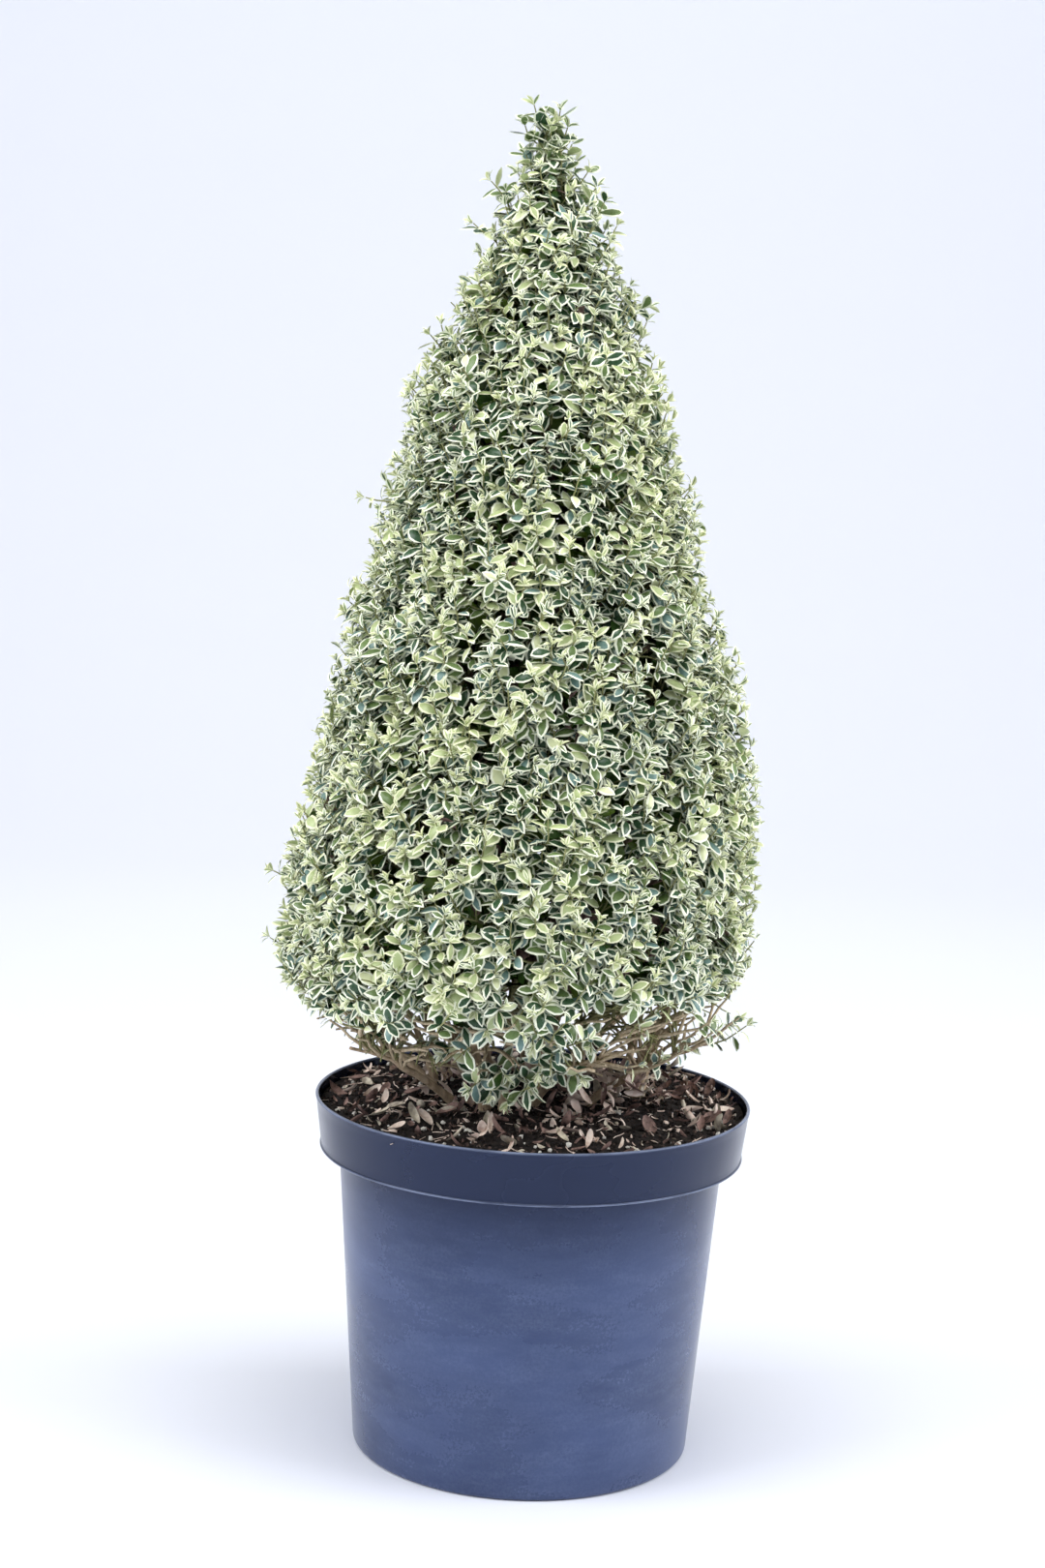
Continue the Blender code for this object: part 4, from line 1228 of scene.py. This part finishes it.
# Nearest and furthest fork, rise and crook of what grows on from the twigs.
FOOT_FORKS, OPEN_FORKS = (0.030, 0.12, 0.4, 0.0012), (0.035, 0.13, 0.75, 0.0012)
OUTER_FORKS, INNER_FORKS = (0.010, 0.075, 0.0, 0.0004), (0.012, 0.07, 0.0, 0.0005)
STRAY_FORKS, TOP_FORKS = (0.022, 0.09, 0.1, 0.0008), (0.024, 0.10, 0.5, 0.0008)
HANGING_FORKS = (0.02, 0.09, -0.8, 0.0008)
STRAY_RISE, OPEN_RISE, TOP_LEAN, HANG = 0.8, 1.1, 0.3, 0.5
EVEN_JITTER = 0.45
UPRIGHT = 0.019               # length over which a shoot holds its own way
FADED_TOP = 0.300
FADED_BEARING = 160.0         # low at the left some shoots have turned amber
FADED_SHOOTS, FADED_LEAVES = 0.55, 0.7
SHOOT_SIZES = (0.86, 1.10)
LARGER_LOW = 0.20             # the leaves get so much larger from this height down
LOW_FROM, LOW_OVER = 0.34, 0.08
MOOD, MOOD_SWING, MOODS_A_METRE = 0.45, 0.9, 28.0
DEAD_INSIDE = 0.12
GREY_TOPS = 0.6

STRAYS = (
    # bearing, height, how far the shoot's tip stands out of the outline
    (182.0, 0.322, 0.001), (196.0, 0.304, -0.006), (176.0, 0.362, 0.003), (-12.0, 0.283, 0.004),
    (-4.0, 0.722, 0.007), (184.0, 0.768, 0.010), (178.0, 0.794, 0.012), (-100.0, 0.560, 0.005),
    (190.0, 0.600, 0.005), (90.0, 0.420, 0.007), (120.0, 0.640, 0.008), (60.0, 0.300, 0.007),
    (240.0, 0.300, 0.004), (-60.0, 0.690, 0.005), (186.0, 0.700, 0.005), (0.0, 0.770, 0.006),
)
OPEN_TIPS = (
    # the same for the low twigs at the open sides, which have hardly a leaf
    (-14.0, 0.268, -0.012), (-24.0, 0.262, -0.018), (-5.0, 0.278, -0.004), (-33.0, 0.274, -0.012),
    (-20.0, 0.292, -0.003), (-42.0, 0.264, -0.020), (-30.0, 0.288, -0.006), (4.0, 0.272, -0.014),
    (-38.0, 0.298, -0.004), (190.0, 0.270, -0.028), (203.0, 0.264, -0.034), (184.0, 0.276, -0.020),
    (208.0, 0.276, -0.024), (218.0, 0.270, -0.030), (196.0, 0.284, -0.016),
)
LEADER_TIPS = (
    # sideways, towards the back, height
    (-0.024, 0.000, 0.840), (-0.008, -0.003, 0.837), (-0.017, 0.004, 0.832),
    (-0.029, 0.003, 0.828), (-0.003, 0.003, 0.828), (-0.013, -0.006, 0.824),
    (-0.021, -0.006, 0.819), (0.000, 0.002, 0.818), (-0.007, -0.010, 0.814),
    (-0.028, -0.004, 0.810), (0.003, 0.008, 0.808), (-0.016, 0.010, 0.810),
    (-0.032, 0.000, 0.799), (0.010, -0.003, 0.801), (-0.024, 0.012, 0.802),
    (0.016, 0.003, 0.793), (-0.039, 0.002, 0.788), (0.021, 0.000, 0.784),
)
HANGING_TIPS = (
    # the same for the low sprays that hang to the soil in front
    (-0.014, -0.086, 0.243), (-0.026, -0.085, 0.247), (-0.038, -0.083, 0.250),
    (-0.004, -0.083, 0.254), (-0.018, -0.080, 0.258), (0.010, -0.083, 0.260),
    (-0.056, -0.066, 0.266), (-0.064, -0.060, 0.272), (0.028, -0.080, 0.258),
)


def marked_spots(marks, steepness):
    """The spots that a table of bearings, heights and distances marks, each with its rising way."""
    spots = []
    for bearing, height, out in marks:
        towards = math.radians(bearing)
        reach = float(envelope(max(height, LOWEST_REACH))) + out
        way = (heading_of(towards) + UP * steepness).normalized()
        spots.append((crown_point(towards, reach, height), way))
    return spots


def grow_plant():
    """Grows the wood order by order. Returns the limbs' axes by kind, and the leaves."""
    rng = random.Random(PLANT_SEED)
    wood = Wood()
    leaves = []
    make_stems(grow_leaders(wood, rng) + grow_boughs(wood, rng))

    def even(count, low, high, phase, depth, leafy=True):
        spots = on_envelope(count, low, high, phase, EVEN_JITTER, rng)
        return lifted(pushed_in(spots, depth, rng, leafy), rng)

    def sprays(spots, forks, kind, size, tint_at, allowed=over_soil):
        paths = grow(wood, spots, *forks, rng)
        for path in paths:
            dress(path, kind, size, tint_at, rng, leaves, allowed)
        return paths

    laterals, twigs, bare = [
        grow(wood, even(*spread, False), *forks, rng) for *spread, forks in WOOD_ORDERS]
    low_down = pushed_in(on_envelope(*FOOT_TWIGS, rng), FOOT_DEPTH, rng, False)
    low_down = [(spot, (outward + UP * FOOT_RISE).normalized()) for spot, outward in low_down]
    foot = grow(wood, low_down, *FOOT_FORKS, rng)

    outer = grow(wood, even(*SHOOTS), *OUTER_FORKS, rng, UPRIGHT)
    for path in outer:
        tip = path[-1]
        mood = within_one(MOOD + MOOD_SWING * noise.noise(tip * MOODS_A_METRE))
        low = within_one((LOW_FROM - tip.z) / LOW_OVER)
        at_left = tip.z < FADED_TOP and abs(bearing_of(tip)) > FADED_BEARING
        faded = at_left and rng.random() < FADED_SHOOTS
        kind = SPARSE if tip.z < OPEN_TOP and on_open_side(tip) else OUTER
        dress(path, kind, rng.uniform(*SHOOT_SIZES) * (1.0 + LARGER_LOW * low), lambda age: (
            AMBER if faded and rng.random() < FADED_LEAVES else tint_of(age, mood, rng)),
            rng, leaves, in_reach)
    inner = sprays(
        even(*INNER_SHOOTS), INNER_FORKS, INNER, 1.0,
        lambda age: DEAD if rng.random() < DEAD_INSIDE else rng.choice((SHADY, PLAIN)), inside)

    strays = sprays(marked_spots(STRAYS, STRAY_RISE), STRAY_FORKS, OUTER, 0.9,
                    lambda age: tint_of(age, 0.4, rng))
    tops = [(Vector(tip), (UP + heading_of(rng.uniform(0, math.tau)) * TOP_LEAN).normalized())
            for tip in LEADER_TIPS]
    tops = sprays(tops, TOP_FORKS, LEADING, 1.0,
                  lambda age: GREY if rng.random() < GREY_TOPS else tint_of(age, 0.3, rng))
    foot += sprays(marked_spots(OPEN_TIPS, OPEN_RISE), OPEN_FORKS, SPARSE, 0.95,
                   lambda age: tint_of(age, 0.5, rng))
    hanging = [(Vector(tip), (Vector((tip[0] * 0.5, -0.05, 0.0)).normalized() - UP * HANG)
                .normalized()) for tip in HANGING_TIPS]
    hanging = sprays(hanging, HANGING_FORKS, OUTER, 1.12,
                     lambda age: tint_of(age, 0.2, rng))
    return laterals, twigs + bare, foot, outer + inner + strays + tops + hanging, leaves


LEAVES_A_PIECE = 7300


def make_plant():
    laterals, twigs, foot, shoots, leaves = grow_plant()
    for name, paths, sides, radii, bark in (
        # the radii are those at the foot and at the tip
        ("laterals", laterals, 5, (0.0017, 0.0010), YOUNG_BARK),
        ("twigs", twigs, 4, (0.0010, 0.0007), YOUNG_BARK),
        ("foot_twigs", foot, 5, (0.0013, 0.0007), TWIG_BARK),
        ("shoots", shoots, 3, (0.0007, 0.00045), SHOOT_BARK),
    ):
        source = lines_mesh(name, paths, [radii] * len(paths))
        ready(grown_out(name + "_of_wood", source, TUBES, Sides=sides, Bark=bark), "bark")

    blanks = blanks_of("leaf_blank", [leaf_blank(*form) for form in LEAF_FORMS]
                       + [shaded_leaf_blank(*SHADED_FORM)])
    tree = points_tree("leaves_on_points", BLADE_FINISHES, MARGIN_FINISHES)
    leaves.sort(key=lambda leaf: leaf[0].z)
    pieces = math.ceil(len(leaves) / LEAVES_A_PIECE)
    masses = [name for name in frame["nodes"] if name.startswith("foliage_")]
    for number in range(pieces):
        tier = leaves[number * len(leaves) // pieces:(number + 1) * len(leaves) // pieces]
        made = grown_out(f"leaves_tier_{number + 1}", told_points(tier), tree,
                         Length=LEAF_LENGTH, Blanks=blanks)
        ready(made, "foliage", *(["foliage_crown"] if number else masses))
    clear_away(blanks)


# ---------------- soil

SOIL_RINGS = 90
SOIL_SECTORS = 220
SOIL_WALL_GAP = 0.0003
SOIL_BASE = POT_FLOOR + SOIL_WALL_GAP
SOIL_RIM_GAP, SOIL_SIDE_GAP = 0.0005, 0.001
SOIL_SUNK = 0.0012
SOIL_LUMPS = ((0.0022, 0.022), (0.0013, 0.008), (0.0009, 0.0034))     # height, distance apart
HEAP_X, HEAP_Y, HEAP_HEIGHT, HEAP_SPREAD = 0.085, 0.07, 0.004, 0.0016
CALM_RADIUS, CALM_WIDTH, CALMEST = 0.1345, 0.02, 0.35     # the lumps flatten out by the wall
SOIL_SHARP_EDGE = math.radians(60)


def inner_radius(height):
    """Radius of the pot's inside at a height."""
    if height > COLLAR_STEP + POT_WALL:
        share = (height - COLLAR_STEP - POT_WALL) / (POT_HEIGHT - COLLAR_STEP - POT_WALL)
        return COLLAR_RADIUS_LOW - POT_WALL + (RIM_RADIUS - COLLAR_RADIUS_LOW) * share
    share = max(0.0, height - POT_FLOOR) / (COLLAR_STEP - POT_FLOOR)
    return BODY_RADIUS_LOW - POT_WALL + (BODY_RADIUS_HIGH - BODY_RADIUS_LOW) * share


def soil_surface(x, y):
    """Height of the crumbly surface, heaped a little towards the back right."""
    distance = math.hypot(x, y)
    rise = HEAP_HEIGHT * math.exp(-((x - HEAP_X) ** 2 + (y - HEAP_Y) ** 2) / HEAP_SPREAD)
    for height, apart in SOIL_LUMPS:
        rise += height * noise.noise(Vector((x, y, 0.0)) / apart)
    loose = CALMEST + (1.0 - CALMEST) * within_one((CALM_RADIUS - distance) / CALM_WIDTH)
    return soil_height(distance) - SOIL_SUNK + rise * loose


def make_soil():
    """One closed plug: the crumbly top, and plain sides down to the pot's floor."""
    rim = inner_radius(SOIL_EDGE) - SOIL_WALL_GAP - SOIL_RIM_GAP
    rings = []
    for i in range(1, SOIL_RINGS + 1):
        level = ring(rim * i / SOIL_RINGS, 0.0, SOIL_SECTORS)
        rings.append([(x, y, soil_surface(x, y)) for x, y, _ in level])
    for height, top in ((COLLAR_STEP + POT_WALL + 0.001, COLLAR_STEP + POT_WALL + 0.002),
                        (COLLAR_STEP + POT_WALL, COLLAR_STEP), (SOIL_BASE, POT_FLOOR)):
        rings.append(ring(inner_radius(top) - SOIL_SIDE_GAP, height, SOIL_SECTORS))
    mesh = turned_mesh("potting_peat", rings, (0.0, 0.0, soil_surface(0.0, 0.0)),
                       (0.0, 0.0, SOIL_BASE), over=True)
    mesh.set_sharp_from_angle(angle=SOIL_SHARP_EDGE)
    ready(new_object("potting_peat", mesh, PEAT), "potting_soil", "soil")


ICO = (1.0 + math.sqrt(5.0)) / 2.0
ICO_POINTS = [Vector(p).normalized() for p in (
    (-1, ICO, 0), (1, ICO, 0), (-1, -ICO, 0), (1, -ICO, 0), (0, -1, ICO), (0, 1, ICO),
    (0, -1, -ICO), (0, 1, -ICO), (ICO, 0, -1), (ICO, 0, 1), (-ICO, 0, -1), (-ICO, 0, 1))]
ICO_FACES = (
    (0, 11, 5), (0, 5, 1), (0, 1, 7), (0, 7, 10), (0, 10, 11), (1, 5, 9), (5, 11, 4), (11, 10, 2),
    (10, 7, 6), (7, 1, 8), (3, 9, 4), (3, 4, 2), (3, 2, 6), (3, 6, 8), (3, 8, 9), (4, 9, 5),
    (2, 4, 11), (6, 2, 10), (8, 6, 7), (9, 8, 1))
SOIL_REACH = 0.133
CRUMB_SEED = 11
CRUMB_BLANKS = 5
CRUMB_ROUGHNESS = 0.32
CRUMBS = 5200
CRUMB_SIZE, CRUMB_MORE = 0.0004, 0.0011     # the smallest crumb, and how much larger they get
PALE_CRUMBS = 0.3
PERLITE_GRAINS = 210
PERLITE_SMALL, PERLITE_LARGE = (0.0005, 0.0012), (0.0012, 0.0020)


def random_turn(rng):
    axis = Vector([rng.gauss(0, 1) for _ in range(3)]).normalized()
    return Matrix.Rotation(rng.uniform(0, math.tau), 3, axis).to_quaternion()


def soil_spot(rng, most=SOIL_REACH):
    bearing = rng.uniform(0, math.tau)
    x, y, _ = polar(most * math.sqrt(rng.random()), bearing, 0.0)
    return Vector((x, y, soil_surface(x, y)))


def make_crumbs():
    """Crumbs of peat, some of them dry and pale, and white grains of perlite."""
    rng = random.Random(CRUMB_SEED)
    blanks = blanks_of("crumb_blank", [mesh_of("crumb_blank", [
        point * (1.0 + rng.uniform(-CRUMB_ROUGHNESS, CRUMB_ROUGHNESS)) for point in ICO_POINTS],
        ICO_FACES, False) for _ in range(CRUMB_BLANKS)])

    def grain(size, sunk, flattest, longest):
        spot = soil_spot(rng) + UP * size * sunk
        shape = [size * rng.uniform(flattest, longest) for _ in range(3)]
        return spot, random_turn(rng), shape, rng.randrange(CRUMB_BLANKS)

    crumbs = [
        (*grain(CRUMB_SIZE + CRUMB_MORE * rng.random() ** 2, sunk=0.3, flattest=0.6, longest=1.5),
         int(rng.random() < PALE_CRUMBS))
        for _ in range(CRUMBS)]
    perlite = [
        (*grain(rng.uniform(*(PERLITE_SMALL if rng.random() < 0.5 else PERLITE_LARGE)),
                sunk=0.35, flattest=0.8, longest=1.2), 0)
        for _ in range(PERLITE_GRAINS)]
    for name, spots, finishes in (("peat_crumbs", crumbs, (PEAT, PEAT_CRUMB)),
                                  ("perlite_grains", perlite, (PERLITE,))):
        tree = points_tree(name + "_on_points", finishes)
        ready(grown_out(name, told_points(spots), tree, Length=1.0, Blanks=blanks), "potting_soil")
    clear_away(blanks)


DRY_ROWS, DRY_COLUMNS = 7, 4
DRY_FOOT, DRY_RUN, DRY_FULLNESS = 0.06, 0.90, 0.8     # the part of a sine that is its outline
DRY_SLANT = 0.3
DRY_FORMS = (
    # width, curl along, fold across, twist
    (0.60, 0.7, 0.8, 0.3), (0.50, 1.4, 1.3, -0.7), (0.58, 0.4, 1.6, 0.5),
    (0.46, 1.9, 0.7, 1.1), (0.54, 1.0, -1.1, -0.6), (0.42, 1.6, 1.8, 0.4),
)
LITTER_SEED = 23
LITTER_RADIUS = 0.129
LYING = 680
CAUGHT = (
    # dead leaves caught between the stems: sideways, towards the back, height, spread, how many
    (0.066, -0.020, 0.238, 0.010, 46), (-0.045, -0.012, 0.236, 0.013, 30),
    (0.018, 0.010, 0.240, 0.018, 30), (0.040, -0.030, 0.234, 0.014, 26),
)
SCRAPS, WHOLE_LEAVES = (0.003, 0.007), (0.009, 0.017)
LYING_HEIGHT = (0.0004, 0.0030)
CAUGHT_HEIGHT = 0.007
TILT = 0.5
UPSIDE_DOWN = 0.4
FIBRES = 170
FIBRE_RADIUS = 0.128
FIBRE_STEPS = 4
FIBRE_LENGTH = (0.005, 0.016)
FIBRE_BEND = 0.4
FIBRE_THICKNESS = (0.0002, 0.0005)
FIBRE_RAISED = 0.0007


def dry_blank(width, curl, fold, twist):
    """A fallen leaf of unit length, curled along and folded across."""
    points, faces = [], []
    for i in range(DRY_ROWS):
        along = i / (DRY_ROWS - 1)
        half = width / 2.0 * math.sin(math.pi * (DRY_FOOT + DRY_RUN * along)) ** DRY_FULLNESS
        turn = twist * along
        for k in range(DRY_COLUMNS + 1):
            roll = fold * (2.0 * k / DRY_COLUMNS - 1.0)
            x = half * math.sin(roll) / abs(fold)
            y = math.sin(curl * along) / curl
            z = half * (1.0 - math.cos(roll)) / abs(fold) + (1.0 - math.cos(curl * along)) / curl
            points.append((x * math.cos(turn) - z * DRY_SLANT * math.sin(turn), y - 0.5,
                           z + x * math.sin(turn)))
    for i in range(DRY_ROWS - 1):
        for k in range(DRY_COLUMNS):
            low = i * (DRY_COLUMNS + 1) + k
            faces.append((low, low + 1, low + DRY_COLUMNS + 2, low + DRY_COLUMNS + 1))
    return mesh_of("dry_blank", points, faces)


def make_litter():
    """Fallen leaves and bits of fibre lying on the soil."""
    rng = random.Random(LITTER_SEED)
    blanks = blanks_of("dry_blank", [dry_blank(*form) for form in DRY_FORMS])
    lying = [soil_spot(rng, LITTER_RADIUS) + UP * rng.uniform(*LYING_HEIGHT)
             for _ in range(LYING)]
    for x, y, z, scatter, count in CAUGHT:
        lying += [Vector((rng.gauss(x, scatter), rng.gauss(y, scatter), z + abs(
            rng.gauss(0.0, CAUGHT_HEIGHT)))) for _ in range(count)]
    fallen = []
    for spot in lying:
        size = rng.uniform(*(SCRAPS if rng.random() < 0.5 else WHOLE_LEAVES))
        flat = Matrix.Rotation(rng.uniform(0, math.tau), 3, "Z")
        tilt = Matrix.Rotation(rng.uniform(-TILT, TILT), 3, "X") @ Matrix.Rotation(
            rng.uniform(-TILT, TILT) + (math.pi if rng.random() < UPSIDE_DOWN else 0.0), 3, "Y")
        fallen.append((spot, (flat @ tilt).to_quaternion(), (size,) * 3,
                       rng.randrange(len(DRY_FORMS)), rng.choice((0, 0, 1, 1, 2))))
    tree = points_tree("fallen_leaves_on_points", (DRY_TAN, DRY_BROWN, DRY_GREY))
    ready(grown_out("fallen_leaves", told_points(fallen), tree, Length=1.0, Blanks=blanks),
          "foliage")
    clear_away(blanks)

    fibres = []
    for _ in range(FIBRES):
        spot = soil_spot(rng, FIBRE_RADIUS)
        heading = heading_of(rng.uniform(0, math.tau))
        length = rng.uniform(*FIBRE_LENGTH)
        bend = heading.cross(UP) * rng.uniform(-FIBRE_BEND, FIBRE_BEND)
        path = []
        for i in range(FIBRE_STEPS + 1):
            share = i / FIBRE_STEPS
            point = spot + (heading + bend * share) * length * share
            point.z = soil_surface(point.x, point.y) + FIBRE_RAISED
            path.append(point)
        fibres.append(path)
    thick = [(rng.uniform(*FIBRE_THICKNESS),) * 2 for _ in fibres]
    source = lines_mesh("peat_fibres", fibres, thick)
    ready(grown_out("peat_fibres", source, TUBES, Sides=4, Bark=DRY_TAN), "potting_soil")


# ---------------- studio

SWEEP_FLAT = 2.3
SWEEP_BEND = 2.2
SWEEP_TOP = 3.0
SWEEP_SIDES = 96
AIR_COLOUR = "#fffbee"
AIR_STRENGTH = 0.38
PLANT_MIDDLE = (0.0, 0.0, 0.4)
LAMPS = (
    # name, place, what it faces, side of its square in metres, watts
    ("softbox_left", (-1.8, -0.7, 1.4), PLANT_MIDDLE, 1.5, 34.5),
    ("softbox_right", (1.9, -0.4, 1.3), PLANT_MIDDLE, 1.5, 35.5),
    ("softbox_top", (0.0, -0.4, 2.6), PLANT_MIDDLE, 1.4, 30.0),
    ("lamp_on_backdrop", (0.0, 1.6, 2.8), (0.0, 4.3, 1.3), 2.0, 40.0),
)
CAMERA_PLACE = (-0.0145, -1.624, 0.636)
CAMERA_DOWN = math.radians(7.4)
CAMERA_ROLL = math.radians(2.3)
CAMERA_LENS = 60.0
CAMERA_SENSOR = 36.0


def make_sweep():
    """A pale paper floor that curves up all round, so that no edge shows behind the plant."""
    line = [(SWEEP_FLAT * share, 0.0) for share in (0.1, 0.3, 0.6)]
    line += arc(SWEEP_FLAT, SWEEP_BEND, SWEEP_BEND, -90, 0, 10)
    line.append((SWEEP_FLAT + SWEEP_BEND, SWEEP_TOP))
    rings = [ring(radius, height, SWEEP_SIDES) for radius, height in line]
    mesh = turned_mesh("paper_sweep", rings, (0.0, 0.0, 0.0), over=True)
    new_object("paper_sweep", mesh, paper_finish())


def make_studio():
    """Soft lamps on three sides, one on the backdrop, and the camera."""
    scene = bpy.context.scene
    scene.world = bpy.data.worlds.new("studio_air")
    scene.world.use_nodes = True
    air = scene.world.node_tree
    add(air, air.nodes["Background"], {"Color": AIR_COLOUR, "Strength": AIR_STRENGTH})

    for name, place, target, side, watts in LAMPS:
        light = bpy.data.lights.new(name, "AREA")
        light.size, light.energy = side, watts
        lamp = new_object(name, light)
        lamp.location = place
        facing = Vector(target) - lamp.location
        lamp.rotation_euler = facing.to_track_quat("-Z", "Y").to_euler()

    camera = new_object("camera", bpy.data.cameras.new("camera"))
    camera.data.lens = CAMERA_LENS
    camera.data.sensor_width = CAMERA_SENSOR
    camera.matrix_world = (
        Matrix.Translation(CAMERA_PLACE)
        @ Matrix.Rotation(math.pi / 2.0 - CAMERA_DOWN, 4, "X")
        @ Matrix.Rotation(CAMERA_ROLL, 4, "Z"))
    scene.camera = camera
    scene.view_settings.view_transform = "Standard"


make_pot()
make_soil()
make_crumbs()
make_litter()
make_plant()
make_sweep()
make_studio()
